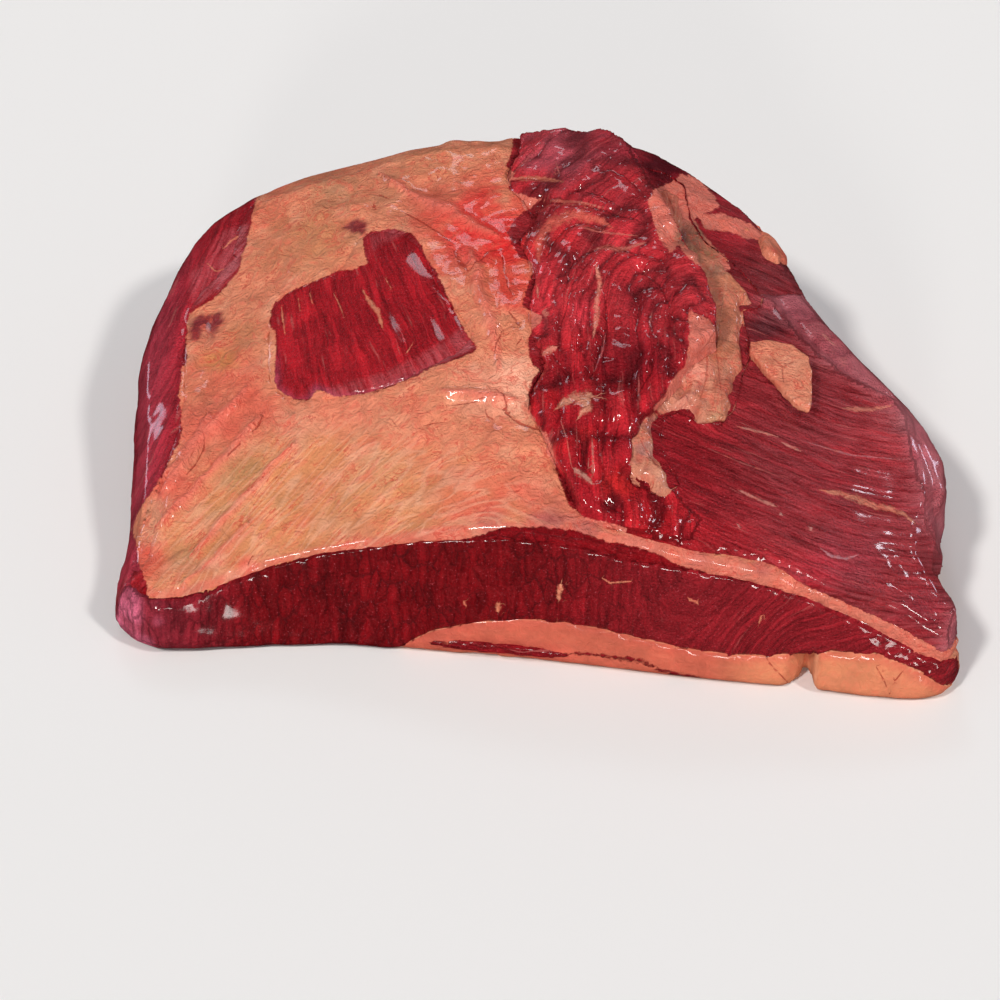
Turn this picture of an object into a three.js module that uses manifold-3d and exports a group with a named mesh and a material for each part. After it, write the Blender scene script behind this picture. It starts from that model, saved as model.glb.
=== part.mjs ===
// Raw boneless beef brisket: half of a whole brisket, cut across the grain, lying on its outer fat.
// Millimetres, +Z up. X runs along the straight cut face, and Y runs from that face to the rounded back.
// Lean and fat are layers that run through the meat and show as bands in the cut face: the fat cap
// with a streak of lean in it, the flat muscle, the seam fat and, on the right, the point muscle.
// Three trimmings of fat are left on the point muscle.
import * as THREE from "three";
import { mergeVertices } from "three/addons/utils/BufferGeometryUtils.js";
import Module from "manifold-3d";

const wasm = await Module();
wasm.setup();

// Gap between layers, and the levels that cutting blocks reach past the meat.
const GAP = 0.4;
const FLOOR = -20;
const CEILING = 160;

// Spacing of the mesh: round the outline, from the centre out, and on the surfaces between layers.
const OUTLINE_STEP = 14;
const TOP_RINGS = 9;
const SEAM_STEP = 15;
const CUTTER_STEP = 9;

// How the meat rounds over from top to side and from side to underside.
// inset and drop shape the shoulder, lean sets the top back from the foot, tuck and rise shape the foot.
const CUT = { inset: 4, drop: 4, lean: 9, tuck: 4, rise: 4 };
const THIN_CORNER = { inset: 13, drop: 8, lean: 2, tuck: 8, rise: 7 };
const LEFT = { inset: 26, drop: 17, lean: 3, tuck: 12, rise: 12 };
const BACK = { inset: 24, drop: 30, lean: 5, tuck: 12, rise: 15 };
const RIGHT = { inset: 17, drop: 20, lean: 4, tuck: 9, rise: 9 };
const POINTED_CORNER = { inset: 7, drop: 7, lean: 3, tuck: 5, rise: 5 };

// Plan outline at the widest level, anticlockwise from the thin left corner of the cut face.
const OUTLINE = [
  [-144, -91, THIN_CORNER],
  [-130, -102, THIN_CORNER],
  [-92, -99, CUT],
  [-58, -99, CUT],
  [-24, -103, CUT],
  [12, -108, CUT],
  [52, -115, CUT],
  [88, -120, CUT],
  [118, -125, CUT],
  [133, -124, POINTED_CORNER],
  [140, -114, POINTED_CORNER],
  [136, -93, RIGHT],
  [142, -60, RIGHT],
  [140, -30, RIGHT],
  [119, 3, RIGHT],
  [103, 34, RIGHT],
  [93, 62, RIGHT],
  [78, 87, BACK],
  [51, 106, BACK],
  [16, 113, BACK],
  [-22, 117, BACK],
  [-62, 115, BACK],
  [-102, 107, BACK],
  [-127, 85, LEFT],
  [-142, 50, LEFT],
  [-147, 12, LEFT],
  [-144, -28, LEFT],
  [-143, -62, LEFT],
];
const CENTRE = [0, -8];

// Spot heights of the upper surface, before the point muscle is raised on it.
const SPOTS = [
  [-131, -96, 20],
  [-80, -94, 31],
  [-47, -92, 42],
  [-10, -94, 51],
  [52, -103, 48],
  [84, -110, 42],
  [117, -118, 31],
  [134, -118, 22],
  [-138, -40, 32],
  [-134, 38, 43],
  [-109, 87, 58],
  [-66, -13, 61],
  [-30, -58, 59],
  [-86, 41, 63],
  [-31, 28, 76],
  [-40, 88, 77],
  [8, 90, 80],
  [10, 0, 75],
  [10, -60, 63],
  [45, 40, 70],
  [58, 88, 75],
  [79, 14, 60],
  [84, 58, 61],
  [104, 10, 53],
  [118, -25, 51],
  [81, -49, 56],
  [127, -55, 44],
  [105, -90, 44],
];

// The ridge that trimming left along the point muscle: its crest in plan, with the rise at each point.
// The meat falls away gently to the left of the crest and ends in a step at its right.
const CREST = [
  [-2, 125, 0],
  [10, 98, 2],
  [27, 83, 8],
  [36, 67, 14],
  [45, 40, 15],
  [53, 18, 15],
  [61, -10, 14],
  [60, -22, 12],
  [50, -34, 10],
  [44, -46, 8],
  [35, -56, 6],
  [29, -67, 4],
  [29, -80, 2],
  [33, -94, 1],
  [36, -135, 0],
];
const CREST_SPREAD = 33;
const CREST_LEFT_END = [-60, -135];
const CREST_BACK_END = [-60, 125];

// Plan outline of the point muscle, past the meat's edge at the back and right.
// Its first points are its trimmed front edge, and its last ones the ragged edge over the cover fat.
const POINT_OUTLINE = [
  [14, -91],
  [30, -98],
  [46, -102],
  [60, -103],
  [74, -105],
  [90, -111],
  [106, -115],
  [124, -119],
  [160, -124],
  [160, 40],
  [110, 115],
  [30, 135],
  [-2, 125],
  [-6, 84],
  [-11, 64],
  [1, 41],
  [-6, 28],
  [-1, 12],
  [-3, -16],
  [3, -31],
  [-4, -46],
  [2, -64],
  [8, -80],
];
const RAGGED_EDGE = POINT_OUTLINE.slice(12);
const POINT_RISE = 2.5;

// Heights of the seam under the point muscle, rising from the cut face to the back.
const SEAM_SPOTS = [
  [-10, -95, 50],
  [52, -103, 46],
  [84, -110, 40],
  [117, -118, 27],
  [138, -118, 17],
  [0, 0, 62],
  [60, 0, 44],
  [120, -20, 26],
  [0, 100, 60],
  [60, 90, 46],
];
const SEAM_FAT = 4;

// The fat that covers the left of the upper surface, short of the lean band down the left side.
// It thickens from the left to the ragged edge, where it dips under the point muscle as the seam fat.
// Round the shoulder of the meat it thins out, sooner with a larger turn.
const COVER_OUTLINE = [
  [-132, -118],
  [170, -150],
  [170, 150],
  [-84, 150],
  [-98, 96],
  [-108, 74],
  [-112, 53],
  [-124, 36],
  [-126, 14],
  [-124, -16],
  [-126, -34],
  [-131, -50],
  [-137, -66],
  [-137, -82],
];
const COVER_THIN = 2;
const COVER_THICK = 4.5;
const COVER_THICKENS = [-70, 0];
const COVER_TURN = 2.5;
const DIP = 14;

// The window that trimming cut through the cover fat down to the flat muscle.
const WINDOW_OUTLINE = [
  [-64, 43],
  [-70, 28],
  [-83, 26],
  [-93, 22],
  [-95, 8],
  [-92, -20],
  [-77, -29],
  [-53, -31],
  [-37, -27],
  [-23, -19],
  [-34, 9],
  [-43, 33],
  [-53, 44],
];

// Top of the fat cap under the right of the meat, and the notch and bevel in its cut edge.
const CAP_SPOTS = [
  [-56, -105, -5],
  [-43, -100, 6],
  [-20, -103, 14],
  [6, -106, 17],
  [33, -110, 14],
  [60, -113, 11.5],
  [86, -117, 14],
  [102, -119, 17],
  [118, -121, 15],
  [129, -122, 9],
  [139, -118, 1],
  [-70, 0, -5],
  [-50, 0, 6],
  [0, 0, 14],
  [60, 0, 13],
  [104, 0, 9],
  [122, -5, 2],
  [138, -60, 3],
  [-80, 90, -5],
  [-55, 100, 5],
  [0, 108, 10],
  [48, 98, 9],
  [76, 76, 6],
  [92, 55, 2],
];
const NOTCH_OUTLINE = [
  [77, -132],
  [92, -132],
  [91, -113],
  [85, -78],
  [87, -112],
  [80, -119],
];

// The flattened streak of lean inside the fat cap: its middle and half sizes.
const STREAK_MIDDLE = [-14, -102, 5];
const STREAK_HALF = [24, 55, 1.7];

// Trimmings of fat left on the point muscle: at the ridge's foot, as a loose flap, and at the back edge.
const GROOVE_OUTLINE = [
  [38, 76],
  [30, 60],
  [40, 30],
  [50, 0],
  [50, -26],
  [40, -40],
  [24, -60],
  [24, -74],
  [30, -82],
  [38, -86],
  [46, -85],
  [42, -73],
  [40, -60],
  [44, -50],
  [52, -55],
  [62, -54],
  [67, -41],
  [70, -28],
  [73, -18],
  [72, -2],
  [72, 9],
  [81, 11],
  [77, 22],
  [70, 33],
  [61, 42],
  [55, 53],
  [53, 72],
];
const GROOVE_FAT = 2.6;
const FLAP_OUTLINE = [
  [71, -13],
  [74, -22],
  [79, -32],
  [84, -41],
  [90, -49],
  [92, -18],
  [85, -13],
  [77, -12],
];
const FLAP_FAT = 2.8;
const FLAP_ROOT = 71;
const FLAP_LIFT = 0.16;
const EDGE_FAT_OUTLINE = [
  [68, 60],
  [74, 50],
  [82, 42],
  [89, 38],
  [95, 44],
  [92, 56],
  [84, 66],
  [75, 68],
];
const EDGE_FAT = 3.2;

const smooth = (x) => x * x * (3 - 2 * x);
const mix = (a, b, share) => a + (b - a) * share;
const clamp = (x, low, high) => Math.min(high, Math.max(low, x));

// Solves a small set of linear equations by elimination with pivoting.
function solve(rows, right) {
  const size = right.length;
  const m = rows.map((row, i) => [...row, right[i]]);
  for (let i = 0; i < size; i++) {
    let best = i;
    for (let j = i + 1; j < size; j++) if (Math.abs(m[j][i]) > Math.abs(m[best][i])) best = j;
    [m[i], m[best]] = [m[best], m[i]];
    for (let j = 0; j < size; j++) {
      if (j === i) continue;
      const share = m[j][i] / m[i][i];
      for (let k = i; k <= size; k++) m[j][k] -= share * m[i][k];
    }
  }
  return m.map((row, i) => row[size] / row[i]);
}

// A thin plate bent through the given spot heights: returns z for any x, y.
function plateThrough(spots) {
  const bend = (r2) => (r2 < 1e-9 ? 0 : 0.5 * r2 * Math.log(r2));
  const pull = (x, y) => spots.map(([a, b]) => bend((x - a) ** 2 + (y - b) ** 2));
  const rows = spots.map(([x, y]) => [...pull(x, y), 1, x, y]);
  for (const flat of [() => 1, ([a]) => a, ([, b]) => b]) rows.push([...spots.map(flat), 0, 0, 0]);
  const weights = solve(rows, [...spots.map((spot) => spot[2]), 0, 0, 0]);
  return (x, y) => [...pull(x, y), 1, x, y].reduce((z, term, i) => z + term * weights[i], 0);
}

// Signed distance from a line of points in plan, positive to its right, and the value carried there.
function beside(line, x, y) {
  let best = { distance: Infinity };
  for (let i = 0; i + 1 < line.length; i++) {
    const [ax, ay, av] = line[i];
    const [bx, by, bv] = line[i + 1];
    const [dx, dy] = [bx - ax, by - ay];
    const share = clamp(((x - ax) * dx + (y - ay) * dy) / (dx * dx + dy * dy), 0, 1);
    const distance = Math.hypot(x - ax - share * dx, y - ay - share * dy);
    if (distance < best.distance) {
      const side = Math.sign((x - ax) * dy - (y - ay) * dx) || 1;
      best = { distance, side, value: mix(av, bv, share) };
    }
  }
  return { offset: best.distance * best.side, value: best.value };
}

function geometryOf(points, faces) {
  return new THREE.BufferGeometry()
    .setAttribute("position", new THREE.Float32BufferAttribute(points.flat(), 3))
    .setIndex(faces.flat());
}

function solidOf(geometry) {
  const bare = geometry.clone();
  bare.deleteAttribute("normal");
  bare.deleteAttribute("uv");
  const merged = mergeVertices(bare, 1e-4);
  return new wasm.Manifold(
    new wasm.Mesh({
      numProp: 3,
      vertProperties: merged.attributes.position.array,
      triVerts: new Uint32Array(merged.index.array),
    }),
  );
}

// Stations round the outline, each with its place, its way in and its rounding.
function stations() {
  const n = OUTLINE.length;
  const at = OUTLINE.map(([x, y]) => new THREE.Vector3(x, y, 0));
  const curve = new THREE.CatmullRomCurve3(at, true, "centripetal");
  const found = [];
  for (let i = 0; i < n; i++) {
    const from = OUTLINE[i][2];
    const to = OUTLINE[(i + 1) % n][2];
    const count = Math.max(2, Math.round(at[i].distanceTo(at[(i + 1) % n]) / OUTLINE_STEP));
    for (let k = 0; k < count; k++) {
      const share = k / count;
      const place = curve.getPoint((i + share) / n);
      const ahead = curve.getTangent((i + share) / n);
      const side = {};
      for (const key of Object.keys(from)) side[key] = mix(from[key], to[key], smooth(share));
      found.push({ x: place.x, y: place.y, inX: -ahead.y, inY: ahead.x, side });
    }
  }
  return found;
}

// The outer form under an upper surface z = height(x, y): one closed body, flat underneath.
// Its rings run out over the top, round the shoulder, down the side and in round the foot.
// A form that is spread has its sides that much further out.
function form(height, spread = 0) {
  const around = stations();
  const ringAt = (inwardOf, levelOf) =>
    around.map(({ x, y, inX, inY, side }, i) => {
      const inward = inwardOf(side) - spread;
      return [x + inX * inward, y + inY * inward, levelOf(side, i)];
    });
  const edge = ringAt((side) => side.lean + side.inset, () => 0).map(([x, y]) => [x, y, height(x, y)]);
  const rings = [];
  for (let k = 1; k <= TOP_RINGS; k++) {
    const share = k / TOP_RINGS;
    const out = edge.map(([x, y]) => [mix(CENTRE[0], x, share), mix(CENTRE[1], y, share)]);
    rings.push(out.map(([x, y]) => [x, y, height(x, y)]));
  }
  const turns = [1, 2, 3].map((third) => (third * Math.PI) / 6);
  for (const turn of turns) {
    rings.push(
      ringAt(
        (side) => side.lean + side.inset * (1 - Math.sin(turn)),
        (side, i) => edge[i][2] - side.drop * (1 - Math.cos(turn)),
      ),
    );
  }
  for (const share of [0.5, 1]) {
    rings.push(
      ringAt(
        (side) => side.lean * (1 - share),
        (side, i) => mix(edge[i][2] - side.drop, side.rise, share),
      ),
    );
  }
  for (const turn of turns) {
    rings.push(
      ringAt(
        (side) => side.tuck * (1 - Math.cos(turn)),
        (side) => side.rise * (1 - Math.sin(turn)),
      ),
    );
  }
  const n = around.length;
  const points = [[...CENTRE, height(...CENTRE)], ...rings.flat(), [...CENTRE, 0]];
  const last = points.length - 1;
  const faces = [];
  for (let i = 0; i < n; i++) {
    const j = (i + 1) % n;
    faces.push([0, 1 + i, 1 + j]);
    for (let k = 0; k + 1 < rings.length; k++) {
      const [a, b, c, d] = [k * n + i + 1, k * n + j + 1, (k + 1) * n + i + 1, (k + 1) * n + j + 1];
      faces.push([a, c, d], [a, d, b]);
    }
    faces.push([(rings.length - 1) * n + i + 1, last, (rings.length - 1) * n + j + 1]);
  }
  return solidOf(geometryOf(points, faces));
}

// A block over the whole plan between two levels, each a number or a function of x and y.
function block(low, high) {
  const [x0, x1, y0, y1] = [-170, 170, -150, 140];
  const [nx, ny] = [Math.ceil((x1 - x0) / SEAM_STEP), Math.ceil((y1 - y0) / SEAM_STEP)];
  const level = (f) => (typeof f === "number" ? () => f : f);
  const points = [];
  for (const f of [level(low), level(high)]) {
    for (let j = 0; j <= ny; j++) {
      for (let i = 0; i <= nx; i++) {
        const [x, y] = [mix(x0, x1, i / nx), mix(y0, y1, j / ny)];
        points.push([x, y, f(x, y)]);
      }
    }
  }
  const half = (nx + 1) * (ny + 1);
  const at = (i, j) => j * (nx + 1) + i;
  const faces = [];
  for (let j = 0; j < ny; j++) {
    for (let i = 0; i < nx; i++) {
      const [a, b, c, d] = [at(i, j), at(i + 1, j), at(i + 1, j + 1), at(i, j + 1)];
      faces.push([a, c, b], [a, d, c], [a + half, b + half, c + half], [a + half, c + half, d + half]);
    }
  }
  const wall = (a, b) => faces.push([a, b, b + half], [a, b + half, a + half]);
  for (let i = 0; i < nx; i++) {
    wall(at(i, 0), at(i + 1, 0));
    wall(at(i + 1, ny), at(i, ny));
  }
  for (let j = 0; j < ny; j++) {
    wall(at(nx, j), at(nx, j + 1));
    wall(at(0, j + 1), at(0, j));
  }
  return solidOf(geometryOf(points, faces));
}

const above = (level) => block(level, CEILING);
const below = (level) => block(FLOOR, level);

// An upright cutter over an anticlockwise plan outline, grown outwards by a margin.
function cutter(outline, grow = 0, rounded = true) {
  const corners = outline.map(([x, y]) => new THREE.Vector3(x, y, 0));
  const curve = new THREE.CatmullRomCurve3(corners, true, "centripetal");
  const steps = Math.round(curve.getLength() / CUTTER_STEP);
  const line = rounded ? curve.getSpacedPoints(steps).slice(0, -1) : corners;
  const n = line.length;
  const grown = line.map((p, i) => {
    const ahead = line[(i + 1) % n].clone().sub(line[(i + n - 1) % n]).normalize();
    return new THREE.Vector2(p.x + ahead.y * grow, p.y - ahead.x * grow);
  });
  const depth = CEILING - FLOOR;
  const solid = new THREE.ExtrudeGeometry(new THREE.Shape(grown), { depth, bevelEnabled: false });
  return solidOf(solid.translate(0, 0, FLOOR));
}

// Upper surfaces of the meat and of its layers.
const plate = plateThrough(SPOTS);
const seam = plateThrough(SEAM_SPOTS);
const capTop = plateThrough(CAP_SPOTS);
const uneven = (x, y) =>
  1.1 * Math.sin(x / 9 + Math.sin(y / 17)) * Math.sin(y / 11 + 1.3 * Math.sin(x / 21));
const top = (x, y) => plate(x, y) + uneven(x, y);

const pointTop = (x, y) => top(x, y) + POINT_RISE;

function ridge(x, y) {
  const { offset, value } = beside(CREST, x, y);
  return pointTop(x, y) + value * Math.exp(-((offset / CREST_SPREAD) ** 2));
}

function flatTop(x, y) {
  const [from, to] = COVER_THICKENS;
  const cover = mix(COVER_THIN, COVER_THICK, smooth(clamp((x - from) / (to - from), 0, 1)));
  const left = beside(RAGGED_EDGE, x, y).offset;
  return mix(top(x, y) - cover, seam(x, y) - SEAM_FAT, smooth(clamp(0.5 - left / DIP, 0, 1)));
}

// Point muscle: everything above the seam on the right, with the ridge as far as its crest.
const crestSide = (grow) =>
  cutter([...CREST.slice().reverse(), CREST_BACK_END, CREST_LEFT_END], grow, false);
const pointForm = form(pointTop).add(form(ridge).intersect(crestSide(0)));
const pointMuscle = pointForm.intersect(cutter(POINT_OUTLINE)).intersect(above(seam));
const underPoint = form(top).subtract(
  cutter(POINT_OUTLINE, GAP).intersect(above((x, y) => seam(x, y) - GAP)),
);

// Seam fat: the cover on the left, with its window, and the seam that it becomes on the right.
const coverArea = cutter(COVER_OUTLINE).subtract(cutter(WINDOW_OUTLINE));
const coverSpace = cutter(COVER_OUTLINE, GAP).subtract(cutter(WINDOW_OUTLINE, -GAP));
const lean = (sunk) => form((x, y) => flatTop(x, y) - sunk, COVER_TURN);
const seamFat = underPoint.intersect(coverArea).subtract(lean(0));
const underCover = underPoint.subtract(coverSpace.subtract(lean(GAP)));

// Fat cap and the streak of lean in it, with the flat muscle over them.
function streak(grow) {
  const [a, b, c] = STREAK_HALF.map((half) => half + grow);
  return solidOf(new THREE.SphereGeometry(1, 22, 8).rotateX(Math.PI / 2).scale(a, b, c).translate(...STREAK_MIDDLE));
}
const capBody = underCover.intersect(below(capTop)).subtract(cutter(NOTCH_OUTLINE, 0, false));
const fatCap = capBody.subtract(streak(GAP));
const leanStreak = capBody.intersect(streak(0));
const flatMuscle = underCover.subtract(below((x, y) => capTop(x, y) + GAP));

// A trimming: a layer between two lifts above the surface, up against the foot of the ridge.
function trimming(outline, lowLift, highLift) {
  const lifted = (lift) => form((x, y) => pointTop(x, y) + lift(x, y));
  return lifted(highLift).intersect(cutter(outline)).subtract(lifted(lowLift)).subtract(crestSide(GAP));
}
const flapLift = (x) => GAP + FLAP_LIFT * Math.max(0, x - FLAP_ROOT);
const grooveFat = trimming(GROOVE_OUTLINE, () => GAP, () => GAP + GROOVE_FAT);
const fatFlap = trimming(FLAP_OUTLINE, flapLift, (x) => flapLift(x) + FLAP_FAT).subtract(
  cutter(GROOVE_OUTLINE, GAP),
);
const edgeFat = trimming(EDGE_FAT_OUTLINE, () => GAP, () => GAP + EDGE_FAT);

const LEAN = { color: 0x86202b, roughness: 0.35 };
const FAT = { color: 0xe6a584, roughness: 0.4 };

function meshOf(name, solid, finish) {
  const { vertProperties, triVerts } = solid.getMesh();
  const geometry = new THREE.BufferGeometry()
    .setAttribute("position", new THREE.Float32BufferAttribute(vertProperties, 3))
    .setIndex([...triVerts]);
  const mesh = new THREE.Mesh(geometry, new THREE.MeshStandardMaterial(finish));
  mesh.name = name;
  return mesh;
}

const brisket = new THREE.Group();
brisket.add(
  meshOf("fat_cap", fatCap, FAT),
  meshOf("lean_streak", leanStreak, LEAN),
  meshOf("flat_muscle", flatMuscle, LEAN),
  meshOf("seam_fat", seamFat, FAT),
  meshOf("point_muscle", pointMuscle, LEAN),
  meshOf("groove_fat", grooveFat, FAT),
  meshOf("fat_flap", fatFlap, FAT),
  meshOf("edge_fat", edgeFat, FAT),
);

// The origin is under the middle of the plan, on the surface that the meat lies on.
const middle = new THREE.Box3().setFromObject(brisket).getCenter(new THREE.Vector3());
brisket.position.set(-middle.x, -middle.y, 0);

export default brisket;
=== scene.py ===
import math

import bpy
import numpy as np
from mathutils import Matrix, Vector
from mathutils.bvhtree import BVHTree


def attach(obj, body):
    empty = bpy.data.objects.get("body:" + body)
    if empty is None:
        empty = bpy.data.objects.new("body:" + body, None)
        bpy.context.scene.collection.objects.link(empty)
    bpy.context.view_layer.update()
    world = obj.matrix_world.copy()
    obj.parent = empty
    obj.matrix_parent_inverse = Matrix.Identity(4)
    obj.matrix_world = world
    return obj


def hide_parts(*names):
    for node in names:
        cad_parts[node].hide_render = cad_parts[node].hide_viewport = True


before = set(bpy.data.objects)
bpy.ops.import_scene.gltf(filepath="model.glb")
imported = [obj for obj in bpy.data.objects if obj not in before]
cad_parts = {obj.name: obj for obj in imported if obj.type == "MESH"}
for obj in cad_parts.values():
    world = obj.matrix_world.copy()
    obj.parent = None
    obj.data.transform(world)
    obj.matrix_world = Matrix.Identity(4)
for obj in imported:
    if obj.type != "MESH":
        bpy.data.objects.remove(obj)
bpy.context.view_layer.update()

# The camera stands before the straight cut face and looks down on the meat at 40 degrees through a long lens.
CAMERA_ANGLE = math.radians(40)
CAMERA_DISTANCE = 1050.0
CAMERA_AIM = np.array((-11.41, -15.81, 0.0))
LENS, SENSOR, PICTURE = 105.0, 36.0, 1000.0
to_camera = np.array((0.0, -math.cos(CAMERA_ANGLE), math.sin(CAMERA_ANGLE)))
camera_place = CAMERA_AIM + CAMERA_DISTANCE * to_camera
camera = bpy.data.objects.new("camera", bpy.data.cameras.new("camera"))
camera.data.lens = LENS
camera.data.sensor_width = SENSOR
camera.location = camera_place / 1000
camera.rotation_euler = (math.pi / 2 - CAMERA_ANGLE, 0, 0)
bpy.context.scene.collection.objects.link(camera)
bpy.context.scene.camera = camera
bpy.context.scene.view_settings.view_transform = "Standard"

# The fat cap is the thick outer fat under the meat. A knife cut it smooth and square at the front, so its
# waxy inside shows there, and elsewhere it is soft, lobed and faintly wet.
FAT_NODES = ("fat_cap", "seam_fat", "groove_fat", "fat_flap", "edge_fat")
LEAN_NODES = ("flat_muscle", "point_muscle", "lean_streak")
MM_PER_PIXEL = 0.36
LAYER_GAP = 0.4  # between the solids of two layers


def flesh(node, name, voxel, rounds):
    """A finely meshed copy of a solid with softened edges, its points in mm and its outward directions."""
    piece = bpy.data.objects.new(name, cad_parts[node].data.copy())
    bpy.context.scene.collection.objects.link(piece)
    fine = piece.modifiers.new("fine", "REMESH")
    fine.mode = "VOXEL"
    fine.voxel_size = voxel / 1000
    soft = piece.modifiers.new("soft", "SMOOTH")
    soft.iterations = rounds
    mesh = bpy.data.meshes.new_from_object(piece.evaluated_get(bpy.context.evaluated_depsgraph_get()))
    piece.modifiers.clear()
    piece.data = mesh
    mesh.materials.clear()
    points = np.zeros(len(mesh.vertices) * 3)
    mesh.vertices.foreach_get("co", points)
    normals = np.zeros(len(mesh.vertices) * 3)
    mesh.vertices.foreach_get("normal", normals)
    return piece, points.reshape(-1, 3) * 1000, normals.reshape(-1, 3)


def settle(piece, points, material, grain, depth, fat="#E0937A", lean="#8F121C", crack_and_crease_shade=None, strand=None,
           cut=0,
           silver=0, film=0, torn=0):
    """Puts the worked points back, nothing lower than the table, and writes what the material reads: the grain's
    place in mm, the depth in fat (below 0 in lean), both colours, lines of cracks (whose dark on lean is painted
    crease shade) and of fat, and kinds of surface."""
    mesh = piece.data
    points[:, 2] = np.maximum(points[:, 2], 0)
    mesh.vertices.foreach_set("co", (points / 1000).ravel())
    whole = np.ones(len(points))
    none = (9 * whole, 0 * whole)
    fields = {"grain": grain, "state": (depth * whole, *(crack_and_crease_shade or none)[:2]),
              "strand": (*(strand or none)[:2], cut * whole), "film": (silver * whole, film * whole,
                                                                       torn * whole)}
    for name, values in fields.items():
        values = values if isinstance(values, np.ndarray) else np.stack(values, 1)
        mesh.attributes.new(name, "FLOAT_VECTOR", "POINT").data.foreach_set("vector",
                                                                            values.astype(np.float32).ravel())
    for name, paint in (("fat", fat), ("lean", lean)):
        paint = np.tile(colour(paint), (len(points), 1)) if isinstance(paint, str) else paint
        mesh.attributes.new(name, "FLOAT_COLOR", "POINT").data.foreach_set("color",
                                                                           paint.astype(np.float32).ravel())
    mesh.polygons.foreach_set("use_smooth", [True] * len(mesh.polygons))
    mesh.materials.append(material)
    mesh.update()


random_grid = np.random.default_rng(11).random((32, 32, 32))


def lumps(*axes, seed=0):
    """Smooth random hills from -1 to 1, one to each unit of the axes."""
    places = np.stack([np.broadcast_to(a, axes[0].shape) for a in (*axes, 0.5)[:3]], 1) + 7.3 * seed
    cell = np.floor(places).astype(int)
    part = places - cell
    part = part * part * (3 - 2 * part)
    height = 0
    for corner in np.ndindex(2, 2, 2):
        share = np.prod(np.where(corner, part, 1 - part), 1)
        height = height + share * random_grid[tuple(((cell + corner) % 32).T)]
    return 2 * height - 1


def hills(points, size, seed=0):
    """Smooth random hills of one size in mm all over a piece."""
    return lumps(*(points / size).T, seed=seed)


def ease(low, high, value):
    """0 up to the low value, 1 from the high one on, and a smooth passage between."""
    part = np.clip((value - low) / (high - low), 0, 1)
    return part * part * (3 - 2 * part)


def in_picture(points):
    """The pixel where each point shows, from the picture's top left."""
    off = points - camera_place
    depth = -off @ to_camera
    up = off @ np.array((0, math.sin(CAMERA_ANGLE), math.cos(CAMERA_ANGLE)))
    scale = PICTURE * LENS / SENSOR / depth
    return np.stack([PICTURE / 2 + off[:, 0] * scale, PICTURE / 2 - up * scale], 1)


def off_line(line, pixels):
    """How far each pixel is from a line, in millimetres on the meat."""
    nearest = np.full(len(pixels), 1e6)
    for start, end in zip(np.array(line[:-1], float), np.array(line[1:], float)):
        along = np.clip((pixels - start) @ (end - start) / ((end - start) @ (end - start)), 0, 1)
        nearest = np.minimum(nearest, np.linalg.norm(pixels - start - along[:, None] * (end - start), axis=1))
    return nearest * MM_PER_PIXEL


def deep_in(outline, pixels):
    """How far each pixel is inside an outline, in millimetres on the meat, and below 0 outside it."""
    ring = [*outline, outline[0]]
    inside = np.zeros(len(pixels), bool)
    for (ax, ay), (bx, by) in zip(ring[:-1], ring[1:]):
        crosses = (ay > pixels[:, 1]) != (by > pixels[:, 1])
        inside ^= crosses & (pixels[:, 0] < (bx - ax) * (pixels[:, 1] - ay) / (by - ay or 1) + ax)
    return np.where(inside, 1, -1) * off_line(ring, pixels)


def near_lines(lines, pixels):
    """The nearest of some (line, half width in mm): how far off it is in half widths, with a sign for the side, a
    share that fades out between lines, and the line's number. A line thins out towards its ends."""
    nearest, number = np.full(len(pixels), 9.0), np.zeros(len(pixels), int)
    for index, (line, half) in enumerate(lines):
        corners = np.array(line, float)
        steps = np.linalg.norm(np.diff(corners, axis=0), axis=1)
        gap, side, place = np.full(len(pixels), 1e6), np.ones(len(pixels)), np.zeros(len(pixels))
        for start, end, step, before in zip(corners[:-1], corners[1:], steps, np.cumsum(steps) - steps):
            along = np.clip((pixels - start) @ (end - start) / step ** 2, 0, 1)
            off = pixels - start - along[:, None] * (end - start)
            nearer = np.linalg.norm(off, axis=1) < gap
            gap = np.where(nearer, np.linalg.norm(off, axis=1), gap)
            side = np.where(nearer, np.sign((end - start)[0] * off[:, 1] - (end - start)[1] * off[:, 0]),
                            side)
            place = np.where(nearer, (before + along * step) / steps.sum(), place)
        across = gap * MM_PER_PIXEL / (half * (1 - 0.85 * np.abs(2 * place - 1) ** 3)) * side
        number = np.where(np.abs(across) < np.abs(nearest), index, number)
        nearest = np.where(np.abs(across) < np.abs(nearest), across, nearest)
    return nearest, ease(3, 2, np.abs(nearest)), number


def off_solids(points, nodes, reach=8.0):
    """How far each point is from the nearest of the solids, up to reach, and the way there."""
    gap, way = np.full(len(points), reach), np.zeros((len(points), 3))
    for node in nodes:
        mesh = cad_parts[node].data
        tree = BVHTree.FromPolygons([v.co for v in mesh.vertices], [p.vertices for p in mesh.polygons])
        for index, point in enumerate(points / 1000):
            place, _, _, far = tree.find_nearest(point, gap[index] / 1000)
            if far is not None and far * 1000 < gap[index]:
                gap[index], way[index] = far * 1000, (place - Vector(point)) * 1000
    return gap, way


JOIN_FROM, JOIN_ALL, JOIN_OVERLAP = 2.6, 0.9, 1.1


def join(points, gap, way):
    """Draws the rim of a layer over to the next layer, so that they meet as grown flesh does, without a dark gap.
    Points closer than JOIN_ALL mm go all the way and a tenth further, and from JOIN_FROM on none move."""
    points += (ease(JOIN_FROM, JOIN_ALL, gap) * JOIN_OVERLAP)[:, None] * way


def colour(code):
    parts = [int(code[i:i + 2], 16) / 255 for i in (1, 3, 5)]
    return (*(p / 12.92 if p <= 0.04045 else ((p + 0.055) / 1.055) ** 2.4 for p in parts), 1.0)


def stain(paint, share, code):
    """Mixes a colour into the paint by each point's share."""
    share = np.clip(share, 0, 1)[:, None]
    return paint * (1 - share) + np.array(colour(code)) * share


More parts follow.
